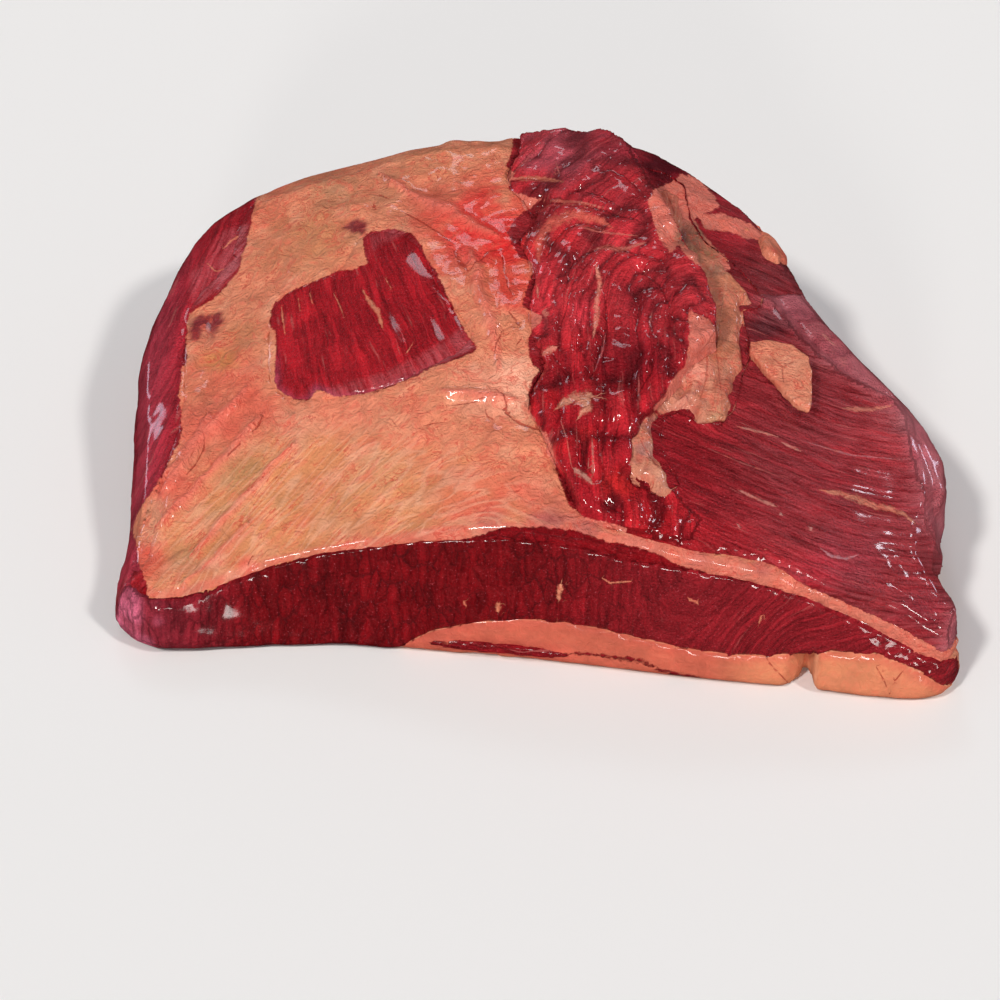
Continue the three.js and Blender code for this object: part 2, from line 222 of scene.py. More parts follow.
def blotch(paint, pixels, points, spots):
    """Mixes ragged spots into the paint, each with its pixel, its radius in pixels, its colour and its share."""
    ragged = 0.3 * hills(points, 7, 7) + 0.2 * hills(points, 2.8, 8)
    for sx, sy, size, code, share in spots:
        away = np.hypot(pixels[:, 0] - sx, (pixels[:, 1] - sy) / 0.8) / size
        paint = stain(paint, share * ease(1.35, 0.25, away + ragged), code)
    return paint


def add(tree, kind, settings=None, inputs=None):
    """Adds a node. An input is a value, a socket, or a node whose first output is meant."""
    node = tree.nodes.new("ShaderNode" + kind)
    for name, value in (settings or {}).items():
        setattr(node, name, value)
    for name, value in (inputs or {}).items():
        value = value.outputs[0] if isinstance(value, bpy.types.Node) else value
        if isinstance(value, bpy.types.NodeSocket):
            tree.links.new(value, node.inputs[name])
        else:
            node.inputs[name].default_value = value
    return node


SMOOTH, BLEND = {"interpolation_type": "SMOOTHSTEP"}, {"data_type": "RGBA"}
PLUS, MINUS, TIMES, TIMES_PLUS, SIZE_OF, SCALED = (
    {"operation": kind} for kind in ("ADD", "SUBTRACT", "MULTIPLY", "MULTIPLY_ADD", "ABSOLUTE", "SCALE"))


def meat(name, waxy=0.0, wetness=0.45):
    """Raw beef. The fat is soft lobes and membranes over a waxy body, with pink and tan stains and thin red cracks,
    a few of them painted shadow lines; the lean is bundles of fibres along the grain, cell-like where a knife cut them
    across, with painted shade in the creases and in the gaps between bundles, pale specks that are partly painted
    glints, and a pale veil that is partly membrane and partly painted sheen. Both are wet, so the eye sees a soft sheen
    with many small glints, and a ragged border where one passes into the other."""
    material = bpy.data.materials.new(name)
    material.use_nodes = True
    tree = material.node_tree
    tree.nodes.clear()
    grain = add(tree, "Attribute", {"attribute_name": "grain"}).outputs["Vector"]
    state = add(tree, "SeparateXYZ", None, {0: add(tree, "Attribute",
                                                   {"attribute_name": "state"}).outputs["Vector"]})
    strand = add(tree, "SeparateXYZ", None, {0: add(tree, "Attribute",
                                                    {"attribute_name": "strand"}).outputs["Vector"]})
    film = add(tree, "SeparateXYZ", None, {0: add(tree, "Attribute",
                                                  {"attribute_name": "film"}).outputs["Vector"]})
    place = add(tree, "VectorMath", SCALED,
                {0: add(tree, "TexCoord").outputs["Object"], "Scale": 1000})

    # Where fat ends and lean begins: a border that wanders a millimetre or so either way, and lines of fat or of crack,
    # the crack lines on lean being painted crease shade.
    ragged = add(tree, "TexNoise", None, {"Vector": place, "Scale": 0.42, "Detail": 4, "Roughness": 0.62})
    fine = add(tree, "TexNoise", None, {"Vector": place, "Scale": 1.6, "Detail": 2, "Roughness": 0.6})
    edge = add(tree, "Math", TIMES_PLUS, {0: ragged, 1: 2.6, 2: -1.3})
    edge = add(tree, "Math", PLUS, {0: edge, 1: state.outputs[0]})
    edge = add(tree, "MapRange", SMOOTH, {0: edge, 1: -0.3, 2: 0.3})
    lines = []
    for across, share in ((strand.outputs[0], strand.outputs[1]), (state.outputs[1], state.outputs[2])):
        line = add(tree, "Math", SIZE_OF, {0: across})
        line = add(tree, "Math", TIMES_PLUS, {0: ragged, 1: 2.6, 2: line})
        line = add(tree, "Math", TIMES_PLUS, {0: fine, 1: 1.2, 2: line})
        line = add(tree, "MapRange", SMOOTH, {0: line, 1: 3.0, 2: 2.1, 4: 0.75})
        lines.append(add(tree, "Math", TIMES, {0: line, 1: share}))
    is_fat = add(tree, "Math", {"operation": "MAXIMUM"}, {0: edge, 1: lines[0]})
    crack_and_crease_shade = lines[1]

    # The fat: clouds of colour some 10 mm wide, streaks along the grain in silverskin, red veins, lobes and pores.
    clouds = add(tree, "TexNoise", None, {"Vector": place, "Scale": 0.1, "Detail": 4, "Roughness": 0.65})
    streaks = add(tree, "TexNoise", None, {
        "Vector": add(tree, "VectorMath", TIMES, {0: grain, 1: (0.15, 0.036, 0.2)}),
        "Scale": 1, "Detail": 3.5, "Roughness": 0.65, "Distortion": 1.4})
    wrinkles = add(tree, "TexNoise", None, {
        "Vector": add(tree, "VectorMath", TIMES, {0: grain, 1: (0.5, 0.08, 0.6)}),
        "Scale": 1, "Detail": 2.5, "Roughness": 0.6, "Distortion": 0.8})
    soft = add(tree, "TexNoise", None, {"Vector": place, "Scale": 0.2, "Detail": 3.5, "Roughness": 0.6,
                                        "Distortion": 1.4})
    soft = add(tree, "SeparateColor", None, {0: soft.outputs["Color"]})
    combed = add(tree, "Math", TIMES, {0: film.outputs[0], 1: 0.65})
    wrinkles = add(tree, "Mix", None, {0: combed, 2: soft.outputs[0], 3: wrinkles})
    streaks = add(tree, "Mix", None, {0: combed, 2: soft.outputs[1], 3: streaks})
    strings = add(tree, "TexNoise", None, {
        "Vector": add(tree, "VectorMath", TIMES_PLUS, {0: grain, 1: (0.15, 0.028, 0.2), 2: (9, 4, 2)}),
        "Scale": 1, "Detail": 2, "Roughness": 0.5, "Distortion": 0.8})
    crease = add(tree, "Math", MINUS, {0: wrinkles, 1: 0.5})
    crease = add(tree, "Math", SIZE_OF, {0: crease})
    vein = add(tree, "MapRange", SMOOTH,
               {0: crease, 1: 0.05, 2: 0.0, 4: 0.7 * (1 - waxy)})
    pale = add(tree, "Math", MINUS, {0: strings, 1: 0.5})
    pale = add(tree, "Math", SIZE_OF, {0: pale})
    pale = add(tree, "MapRange", SMOOTH,
               {0: pale, 1: 0.06, 2: 0.0, 4: 0.32 * (1 - waxy)})
    drawn = add(tree, "MapRange", None, {0: film.outputs[0], 3: 0.15, 4: 1.0})
    pale = add(tree, "Math", TIMES, {0: pale, 1: drawn})
    veiled = add(tree, "MapRange", SMOOTH, {0: clouds, 1: 0.46, 2: 0.62})
    vein = add(tree, "Math", TIMES, {0: vein, 1: veiled})
    pink = add(tree, "MapRange", SMOOTH, {0: streaks, 1: 0.5, 2: 0.66, 4: 0.55 * (1 - waxy)})
    tone = add(tree, "MapRange", None, {0: clouds, 1: 0.3, 2: 0.7, 3: 0.8, 4: 1.2})
    lined = add(tree, "MapRange", None, {0: film.outputs[0], 1: 0.0, 2: 1.0, 3: 0.2, 4: 0.5})
    line = add(tree, "Math", MINUS, {0: streaks, 1: 0.5})
    line = add(tree, "Math", TIMES_PLUS, {0: line, 1: lined, 2: tone})
    fat = add(tree, "VectorMath", SCALED,
              {0: add(tree, "Attribute", {"attribute_name": "fat"}), "Scale": line})
    fat = add(tree, "Mix", BLEND, {0: pink, 6: fat, 7: colour("#DE6652")}).outputs[2]
    fat = add(tree, "Mix", BLEND, {0: vein, 6: fat, 7: colour("#CC4438")}).outputs[2]
    fat = add(tree, "Mix", BLEND, {0: pale, 6: fat, 7: colour("#F4B898")}).outputs[2]
    fat_height = add(tree, "Math", TIMES, {0: streaks, 1: 1.0 * (1 - waxy)})
    creased = add(tree, "MapRange", None, {0: film.outputs[0], 3: 3.0 * (1 - waxy), 4: 1.5 * (1 - waxy)})
    fat_height = add(tree, "Math", TIMES_PLUS, {0: crease, 1: creased, 2: fat_height})
    fat_height = add(tree, "Math", TIMES_PLUS, {0: pale, 1: 0.5, 2: fat_height})
    fat_height = add(tree, "Math", TIMES_PLUS, {0: soft.outputs[2], 1: 1.6 * (1 - waxy), 2: fat_height})

    # The lean: fibres about 1 mm wide in bundles of 3 to 4 mm, pale threads, and on a cut the bundles' ends, with
    # painted shade in the gaps between bundles.
    sway = add(tree, "TexNoise", None, {"Vector": place, "Scale": 0.07, "Detail": 2})
    sway = add(tree, "VectorMath", TIMES_PLUS, {0: sway.outputs["Color"], 1: (3, 3, 3), 2: grain})
    fibres = add(tree, "TexNoise", None, {
        "Vector": add(tree, "VectorMath", TIMES, {0: sway, 1: (0.75, 0.07, 0.3)}),
        "Scale": 1, "Detail": 4, "Roughness": 0.7})
    bundles = add(tree, "TexNoise", None, {
        "Vector": add(tree, "VectorMath", TIMES, {0: sway, 1: (0.3, 0.025, 0.12)}),
        "Scale": 1, "Detail": 3, "Roughness": 0.6})
    # Painted shade: thin dark lines where the bundles part, darkened in colour and sunk in the bump.
    shaded_split = add(tree, "Math", MINUS, {0: bundles, 1: 0.5})
    shaded_split = add(tree, "Math", SIZE_OF, {0: shaded_split})
    shaded_split = add(tree, "MapRange", SMOOTH, {0: shaded_split, 1: 0.05, 2: 0.0})
    uncut = add(tree, "Math", MINUS, {0: 1.0, 1: strand.outputs[2]})
    shaded_split = add(tree, "Math", TIMES, {0: shaded_split, 1: uncut})
    bare = add(tree, "MapRange", None, {0: film.outputs[1], 3: 1.0, 4: 0.3})
    shaded_split = add(tree, "Math", TIMES, {0: shaded_split, 1: bare})
    threads = add(tree, "TexNoise", None, {
        "Vector": add(tree, "VectorMath", TIMES_PLUS, {0: sway, 1: (0.75, 0.05, 0.2), 2: (31, 7, 3)}),
        "Scale": 1, "Detail": 2})
    thread = add(tree, "MapRange", SMOOTH, {0: threads, 1: 0.64, 2: 0.76, 4: 0.5})
    thread = add(tree, "Math", TIMES, {0: thread, 1: uncut})
    ends = add(tree, "VectorMath", TIMES, {0: sway, 1: (0.3, 0.13, 0)})
    ends = add(tree, "VectorMath", TIMES_PLUS, {0: ragged.outputs["Color"], 1: (0.5, 0.5, 0), 2: ends})
    cells = add(tree, "TexVoronoi", {"feature": "DISTANCE_TO_EDGE", "voronoi_dimensions": "2D"},
                {"Vector": ends, "Scale": 1, "Randomness": 0.95})
    tints = add(tree, "TexVoronoi", {"voronoi_dimensions": "2D"},
                {"Vector": ends, "Scale": 1, "Randomness": 0.95})
    tint = add(tree, "SeparateColor", None, {0: tints.outputs["Color"]})
    # Painted shade: the fissures between the cut bundles' ends are darkened in colour and sunk in the bump.
    gap = add(tree, "MapRange", SMOOTH, {0: cells, 1: 0.13, 2: 0.0})
    gap = add(tree, "Math", TIMES, {0: gap, 1: strand.outputs[2]})
    shaded_fissures = add(tree, "MapRange", SMOOTH, {0: clouds, 1: 0.38, 2: 0.6, 3: 0.1, 4: 0.58})
    shaded_fissures = add(tree, "Math", TIMES, {0: gap, 1: shaded_fissures})
    loose = add(tree, "Math", TIMES, {0: film.outputs[2], 1: 0.4})
    shade = add(tree, "Mix", None, {0: loose, 2: fibres, 3: ragged})
    shade = add(tree, "Math", PLUS, {0: shade, 1: bundles})
    shade = add(tree, "Math", TIMES_PLUS, {0: fine, 1: 0.6, 2: shade})
    shade = add(tree, "Math", MINUS, {0: shade, 1: 1.3})
    mottle = add(tree, "MapRange", None, {0: strand.outputs[2], 3: 1.8, 4: 1.3})
    shade = add(tree, "Math", TIMES_PLUS, {0: shade, 1: mottle, 2: 1.02})
    shade = add(tree, "Math", TIMES_PLUS, {0: shaded_split, 1: -0.2, 2: shade})
    shade = add(tree, "Math", {"operation": "MAXIMUM"}, {0: shade, 1: 0.3})
    end_tone = add(tree, "MapRange", None, {0: tint, 3: 0.84, 4: 1.2})
    end_tone = add(tree, "Mix", None, {0: strand.outputs[2], 2: 1.0, 3: end_tone})
    shade = add(tree, "Math", TIMES, {0: shade, 1: end_tone})
    lean = add(tree, "VectorMath", SCALED,
               {0: add(tree, "Attribute", {"attribute_name": "lean"}), "Scale": shade})
    lean = add(tree, "Mix", BLEND, {0: thread, 6: lean, 7: colour("#C46A64")}).outputs[2]
    lean = add(tree, "Mix", BLEND, {0: shaded_fissures, 6: lean, 7: colour("#3A060B")}).outputs[2]
    # Pale specks on the lean, partly fat flecks and partly painted glints.
    fleck_and_glint_speck = add(tree, "MapRange", SMOOTH, {0: fine, 1: 0.64, 2: 0.74, 4: 0.5})
    lean = add(tree, "Mix", BLEND, {0: fleck_and_glint_speck, 6: lean, 7: colour("#C4606A")}).outputs[2]
    # A pale veil: a membrane where the film marks one, and over the right of the upper muscle partly painted sheen.
    membrane_and_sheen_veil = add(tree, "MapRange", None, {0: fibres, 1: 0.38, 2: 0.62, 3: 0.1, 4: 0.9})
    membrane_and_sheen_veil = add(tree, "Math", TIMES, {0: membrane_and_sheen_veil, 1: film.outputs[1]})
    lean = add(tree, "Mix", BLEND, {0: membrane_and_sheen_veil, 6: lean, 7: colour("#C06C72")}).outputs[2]
    lean_height = add(tree, "Mix", None, {0: loose, 2: fibres, 3: ragged})
    lean_height = add(tree, "Math", TIMES, {0: lean_height, 1: 0.9})
    lean_height = add(tree, "Math", TIMES_PLUS, {0: bundles, 1: 1.2, 2: lean_height})
    lean_height = add(tree, "Math", TIMES_PLUS, {0: shaded_split, 1: -0.35, 2: lean_height})
    dome = add(tree, "MapRange", SMOOTH, {0: cells, 1: 0.0, 2: 0.35})
    dome = add(tree, "Math", TIMES, {0: dome, 1: strand.outputs[2]})
    lean_height = add(tree, "Math", TIMES_PLUS, {0: dome, 1: 1.3, 2: lean_height})
    lean_height = add(tree, "Math", TIMES_PLUS, {0: shaded_fissures, 1: -0.5, 2: lean_height})

    # Both together, with wet grit that glints in patches.
    body = add(tree, "Mix", BLEND, {0: is_fat, 6: lean, 7: fat}).outputs[2]
    # Crack lines: red on fat, and on lean a near black that is painted shade in the creases of the ridge.
    crack_red_and_crease_shade = add(tree, "Mix", BLEND, {0: is_fat, 6: colour("#4A060C"), 7: colour("#B03428")})
    body = add(tree, "Mix", BLEND, {0: crack_and_crease_shade, 6: body, 7: crack_red_and_crease_shade.outputs[2]}).outputs[2]
    height = add(tree, "Mix", None, {0: is_fat, 2: lean_height, 3: fat_height})
    height = add(tree, "Math", TIMES_PLUS, {0: is_fat, 1: 0.3, 2: height})
    height = add(tree, "Math", TIMES_PLUS, {0: crack_and_crease_shade, 1: -0.6, 2: height})
    grains = add(tree, "TexNoise", None, {"Vector": place, "Scale": 1.1, "Detail": 2, "Roughness": 0.6})
    grit = add(tree, "MapRange", SMOOTH,
               {0: clouds, 1: 0.4, 2: 0.6, 3: 0.5, 4: 0.8})
    wet = add(tree, "Mix", None, {0: is_fat, 2: 2.8, 3: 1.2 * (1 - waxy)})
    grit = add(tree, "Math", TIMES, {0: grit, 1: wet})
    grit = add(tree, "Math", TIMES, {0: grit, 1: grains})
    height = add(tree, "Math", PLUS, {0: grit, 1: height})
    bump = add(tree, "Bump", None, {"Strength": 0.85, "Distance": 0.001, "Height": height})
    gloss = add(tree, "MapRange", None, {0: clouds, 1: 0.3, 2: 0.7, 3: 0.34, 4: 0.52})
    shader = add(tree, "BsdfPrincipled", None, {
        "Base Color": body, "Roughness": gloss, "IOR": 1.42, "Normal": bump, "Specular IOR Level": 0.12,
        "Coat Weight": wetness, "Coat Roughness": 0.1, "Coat IOR": 1.4})
    add(tree, "OutputMaterial", None, {"Surface": shader})
    return material


CAP_LINES = (
    (((608, 657), (641, 661), (669, 672), (722, 683)), 0.55), (((560, 652), (600, 655), (648, 660)), 0.4))
CAP_CREASES = (
    (((762, 655), (778, 672), (793, 688)), 0.35), (((874, 663), (884, 680), (890, 695)), 0.3), (((905, 668),
    (893, 683)), 0.3))
piece, points, normals = flesh("fat_cap", "fat_cap_flesh", 1.5, 3)
pixels = in_picture(points)
x, y, z = points.T
front = ease(0.4, 0.8, -normals[:, 1])
to_lean, way = off_solids(points, LEAN_NODES)
join(points, to_lean, way)
depth = to_lean - LAYER_GAP
for line, half in CAP_LINES:
    depth = np.minimum(depth, np.where(front > 0.5, off_line(line, pixels) - half, 9))
points += normals * (0.3 + 0.5 * (1 - front) * hills(points, 9))[:, None]
crack_and_crease_shade, share, _ = near_lines(CAP_CREASES, pixels)
paint = np.tile(colour("#CC7C58"), (len(points), 1))
paint = stain(paint, (1 - front) * 0.5, "#E4A480")
paint = stain(paint, 0.5 * front * lumps(z / 3, x / 25, y / 25, seed=40), "#DA6E58")
paint = stain(paint, front * ease(4, 0, to_lean), "#CC5A4A")
paint = stain(paint, 0.8 * front * ease(770, 700, pixels[:, 0]), "#BA5242")
settle(piece, points, meat("cut_cap_fat", 0.7, 0.5), points[:, [2, 0, 1]], depth, fat=paint, cut=front,
       crack_and_crease_shade=(crack_and_crease_shade, share * front))
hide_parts("fat_cap")
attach(piece, "root")

# The lean streak is a thin sheet of muscle that grew inside the cap. It shows where the knife cut it across
# with the cap, and the fat round it holds it. All the lean is one material, wetter than the fat.
lean_beef = meat("raw_lean_beef", wetness=0.6)
piece, points, normals = flesh("lean_streak", "lean_streak_flesh", 0.8, 2)
points += normals * (0.5 + 0.25 * hills(points, 4, 1))[:, None]
settle(piece, points, lean_beef, points[:, [2, 0, 1]], -4.0, lean="#8A0E18")
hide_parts("lean_streak")
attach(piece, "root")

# The flat muscle is the thick lower layer of lean. It shows on the cut face, where its bundles are cut
# across, in the band down the left side, and in the window that was trimmed in the fat. OPEN_FAT is where
# the seam fat lies open, read off the photograph, and WINDOW the hole in it.
OPEN_FAT = (
    (262, 150), (255, 205), (250, 225), (247, 244), (242, 254), (240, 270), (233, 278), (223, 290),
    (213, 300), (199, 307), (190, 313), (187, 323), (186, 344), (187, 359), (182, 369), (179, 392),
    (181, 414), (182, 435), (175, 449), (168, 463), (162, 476), (153, 490), (143, 504), (136, 518),
    (132, 530), (137, 545), (138, 562), (143, 575), (148, 587), (147, 600), (151, 605), (160, 599),
    (167, 601), (186, 597), (193, 593), (213, 595), (230, 593), (253, 590), (265, 585), (292, 578),
    (317, 568), (341, 560), (368, 550), (402, 552), (420, 549), (433, 544), (457, 541), (481, 535),
    (502, 527), (537, 527), (574, 530), (592, 537), (609, 542), (626, 545), (643, 549), (660, 554),
    (678, 562), (695, 563), (738, 569), (764, 573), (781, 581), (820, 590), (846, 600), (865, 611),
    (883, 623), (898, 635), (920, 647), (941, 657), (958, 666), (980, 668), (980, 636), (955, 642),
    (950, 649), (932, 643), (915, 635), (898, 621), (877, 609), (855, 597), (834, 587), (819, 584),
    (784, 574), (772, 561), (764, 552), (743, 552), (729, 555), (712, 556), (691, 553), (678, 546),
    (660, 542), (643, 537), (633, 530), (614, 524), (585, 518), (571, 507), (562, 487), (556, 469),
    (554, 452), (547, 435), (537, 425), (531, 411), (528, 394), (532, 380), (541, 369), (534, 366),
    (529, 356), (528, 342), (532, 330), (541, 323), (542, 316), (534, 312), (522, 307), (525, 295),
    (529, 281), (534, 273), (532, 263), (520, 257), (511, 242), (508, 232), (513, 221), (522, 213),
    (534, 206), (539, 199), (525, 195), (508, 190), (511, 182), (515, 172), (506, 166), (511, 154),
    (513, 140), (518, 90))
WINDOW = (
    (363, 237), (370, 232), (391, 228), (410, 232), (420, 242), (425, 256), (434, 268), (444, 288),
    (455, 312), (465, 331), (477, 349), (470, 354), (453, 361), (432, 367), (417, 376), (394, 385),
    (373, 393), (337, 397), (325, 392), (316, 389), (309, 401), (294, 400), (276, 388), (275, 369),
    (276, 352), (276, 331), (270, 328), (270, 313), (276, 302), (290, 292), (312, 282), (337, 271),
    (354, 269), (368, 264), (364, 252))
MEMBRANES = (
    ((190, 274), (203, 259), (212, 241), (224, 230), (249, 223), (247, 239), (240, 267), (220, 293),
    (192, 307), (189, 291)), ((477, 349), (462, 326), (445, 340), (420, 354), (385, 372), (340, 384),
    (318, 392), (300, 396), (330, 400), (394, 386)), ((363, 237), (391, 228), (410, 231), (398, 238),
    (378, 246), (366, 262)))
LEAN_THREADS = (
    (((362, 288), (368, 300), (378, 312), (383, 330)), 1.0), (((281, 303), (283, 320), (285, 336)), 0.5),
    (((333, 292), (340, 306), (344, 318)), 0.35), (((309, 290), (313, 306)), 0.35), (((298, 296),
    (300, 312)), 0.3), (((384, 276), (392, 290)), 0.3), (((405, 355), (415, 340)), 0.3), (((222, 250),
    (232, 240), (246, 232)), 0.5), (((206, 262), (216, 272), (226, 268)), 0.4), (((463, 600), (466, 607)),
    0.7), (((499, 602), (497, 613)), 1.2), (((562, 581), (559, 592), (558, 602)), 1.3), (((600, 577),
    (610, 583), (634, 581)), 0.5), (((686, 598), (700, 604)), 0.7), (((762, 614), (758, 626)), 0.6),
    (((548, 626), (562, 622)), 0.7))
SILVERSKIN = (
    (150, 600), (168, 530), (215, 470), (270, 440), (340, 425), (420, 440), (500, 470), (548, 520),
    (440, 545), (330, 568), (210, 600))
FAT_STAINS = (
    (505, 232, 50, "#F02C2E", 1.0), (466, 222, 50, "#EA3C38", 0.9), (512, 285, 38, "#EA3C36", 0.85), (458,
    262, 26, "#E0504A", 0.7), (430, 195, 36, "#DA5C4C", 0.6), (225, 370, 40, "#E0604C", 0.5), (250, 410, 34,
    "#E25A4C", 0.6), (200, 430, 36, "#E25C50", 0.6), (166, 486, 30, "#E0564A", 0.7), (145, 560, 26,
    "#E04A40", 0.7), (335, 405, 46, "#F08A6C", 0.7), (480, 490, 50, "#E06050", 0.5), (530, 500, 34,
    "#DC5A4C", 0.5), (420, 440, 44, "#E88468", 0.4), (514, 385, 42, "#FFB496", 1.0), (480, 395, 30,
    "#F29A7C", 0.7), (320, 235, 45, "#D0885E", 0.8), (330, 188, 32, "#B8805C", 0.6), (380, 190, 26,
    "#C4805E", 0.5), (218, 360, 20, "#C88848", 0.6), (240, 335, 24, "#C27A52", 0.6), (268, 260, 26,
    "#CC7C58", 0.6), (270, 210, 22, "#C86C50", 0.6), (247, 565, 10, "#F06A54", 1.0), (430, 160, 40,
    "#DA8C66", 0.6), (245, 475, 26, "#B88A5C", 0.6), (290, 500, 26, "#D0905C", 0.5), (210, 545, 24,
    "#C08054", 0.5), (345, 520, 30, "#C8845C", 0.5), (640, 545, 30, "#E8937C", 0.6), (740, 570, 20,
    "#EFA184", 0.7), (395, 430, 22, "#EFA07C", 0.6), (210, 340, 14, "#B0705A", 0.6), (545, 522, 26,
    "#A8565A", 0.7), (585, 526, 20, "#A8565A", 0.7), (490, 528, 20, "#B0786A", 0.7), (700, 556, 16,
    "#A05A60", 0.5), (760, 568, 14, "#9C4A58", 0.5), (170, 300, 20, "#C06A5C", 0.5), (300, 425, 26,
    "#E8A080", 0.5), (230, 515, 22, "#CC9468", 0.6), (185, 560, 18, "#B08462", 0.6), (380, 470, 30,
    "#D8946C", 0.6))


def open_fat(pixels):
    """How far each pixel is inside the fat that lies open, in millimetres, and below 0 on the lean around it."""
    px, py = pixels.T
    in_seam = ease(640, 800, px) * ease(530, 545, py)
    return np.minimum(deep_in(OPEN_FAT, pixels) + 1.2 * in_seam, -deep_in(WINDOW, pixels))


def film_over(pixels):
    """Where a thin film of membrane was left on the lean."""
    return np.max([ease(-1.0, 1.5, deep_in(outline, pixels)) for outline in MEMBRANES], 0)


def open_fat_colours(points, pixels, seen):
    """Peach fat with blood stains, and tan silverskin that is streaked along its grain. Returns both, and the grain."""
    px, py = pixels.T
    silver = ease(-8, 8, deep_in(SILVERSKIN, pixels)) * seen
    across = py - 0.0028 * np.clip(520 - px, 0, 190) ** 2 - 1.07 * np.clip(330 - px, 0, None)
    across -= 0.3 * np.clip(px - 520, 0, None)
    grain = MM_PER_PIXEL * np.stack([0.8 * across, 1.3 * px, 0 * px], 1)
    paint = np.tile(colour("#E68C6A"), (len(points), 1))
    paint = stain(paint, 0.8 * silver, "#DC905E")
    paint = stain(paint, 0.8 * silver * lumps(grain[:, 0] / 5, grain[:, 1] / 24, seed=24), "#C08458")
    paint = stain(paint, 0.6 * silver * lumps(grain[:, 0] / 4, grain[:, 1] / 30, seed=48), "#E88A70")
    paint = stain(paint, 0.5 * hills(points, 9, 25), "#E0604A")
    paint = stain(paint, 0.6 * hills(points, 6, 35), "#F4AE8C")
    paint = np.where(seen[:, None] > 0, blotch(paint, pixels, points, FAT_STAINS), paint)
    return paint, silver, grain


def tuck_in(points, px, py):
    """The right side lies 3.5 mm further in than the solid where it nears the cut."""
    points[:, 0] -= 3.5 * ease(925, 942, px) * ease(480, 520, py) * ease(620, 585, py)


piece, points, normals = flesh("flat_muscle", "flat_muscle_flesh", 1.36, 2)
pixels = in_picture(points)
seen = ease(0.05, 0.3, normals @ to_camera)
to_fat, way = off_solids(points, FAT_NODES)
cut = ease(0.2, 0.5, -normals[:, 1]) * ease(-56, -68, points[:, 1])
inside = deep_in(WINDOW, in_picture(points + 0.6 * normals))
window = ease(-2, 0, inside) * seen * (1 - cut)
x, y, z = points.T
px, py = pixels.T
slant = ease(30, 90, x)
cut_grain = np.stack([x * (1 - slant) + slant * 1.5 * (0.96 * z - 0.3 * x),
                      z * (1 - slant) + slant * 0.55 * (0.96 * x + 0.3 * z), y], 1)
window_grain = MM_PER_PIXEL * np.stack([px - 0.0032 * np.clip(px - 262, 0, 130) * (py - 300), 1.5 * py,
                                        0 * px], 1)
side_grain = MM_PER_PIXEL * np.stack([0.91 * px + 0.42 * py, 0.42 * px - 0.91 * py, 0 * px], 1)
grain = np.where(seen[:, None] > 0.2, side_grain, np.stack([z * 1.3 + 0.2 * x, x + y, 0 * x], 1))
grain = np.where(window[:, None] > 0.1, window_grain, grain)
grain = np.where(cut[:, None] > 0.3, cut_grain, grain)
relief = 0.9 * hills(points, 16) + 0.35 * hills(points, 5, 2)
relief -= 0.35 * window * hills(points, 5, 2)
relief += (1 - cut) * 0.7 * lumps(grain[:, 0] / 3.5, grain[:, 1] / 30, seed=3)
join(points, to_fat, way)
points += normals * (cut * 0.35 * ease(4, 1, to_fat) * hills(points, 3, 51))[:, None]
points += normals * (0.4 + 0.6 * relief * ease(0.4, 4, to_fat) + 0.6 * ease(0, 9, inside) * window)[:, None]
tuck_in(points, px, py)
pixels = in_picture(points)
depth = np.where((seen > 0.02) & (cut < 0.3), open_fat(pixels), -0.9 - 0.8 * to_fat)
membrane = 0.45 * film_over(pixels) * seen * (1 - cut)
paint = np.tile(colour("#AA1C28"), (len(points), 1))
# Painted shade in part: the cut face is painted a darker red, the cut lean's own colour together with shade for a face
# that gets less light.
paint = stain(paint, cut, "#78070F")
paint = stain(paint, 0.6 * cut * ease(26, 0, np.abs(x + 60 + 0.6 * z)), "#6A060E")
paint = stain(paint, 0.8 * window, "#AA1822")
paint = stain(paint, 0.6 * window * lumps(x / 7, y / 9, z / 7, seed=21), "#C4202A")
paint = stain(paint, 0.6 * window * ease(3, 0, inside) * ease(340, 385, py), "#B0506A")
# The left band (x below -118) and the cut's far left end are painted a paler purple: partly their own light-purple
# tissue, partly painted sheen.
paint = stain(paint, 0.4 * ease(-118, -138, x) * seen, "#B0485C")
paint = stain(paint, 0.6 * cut * ease(-90, -125, x), "#8C2836")
paint = stain(paint, 0.95 * cut * ease(-124, -142, x + 9 * lumps(x / 4, z / 4, seed=45)), "#DC6A86")
paint = stain(paint, 0.6 * cut * ease(-20, 70, x), "#98202A")
paint = stain(paint, 0.5 * (1 - seen), "#9A2530")
strand, share, _ = near_lines(LEAN_THREADS, pixels)
fat_paint, silver, _ = open_fat_colours(points, pixels, seen)
settle(piece, points, lean_beef, grain, depth, fat=fat_paint, lean=paint, strand=(strand, share * seen),
       cut=cut * (1 - 0.5 * ease(0, 40, x)), film=membrane)
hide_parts("flat_muscle")
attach(piece, "root")

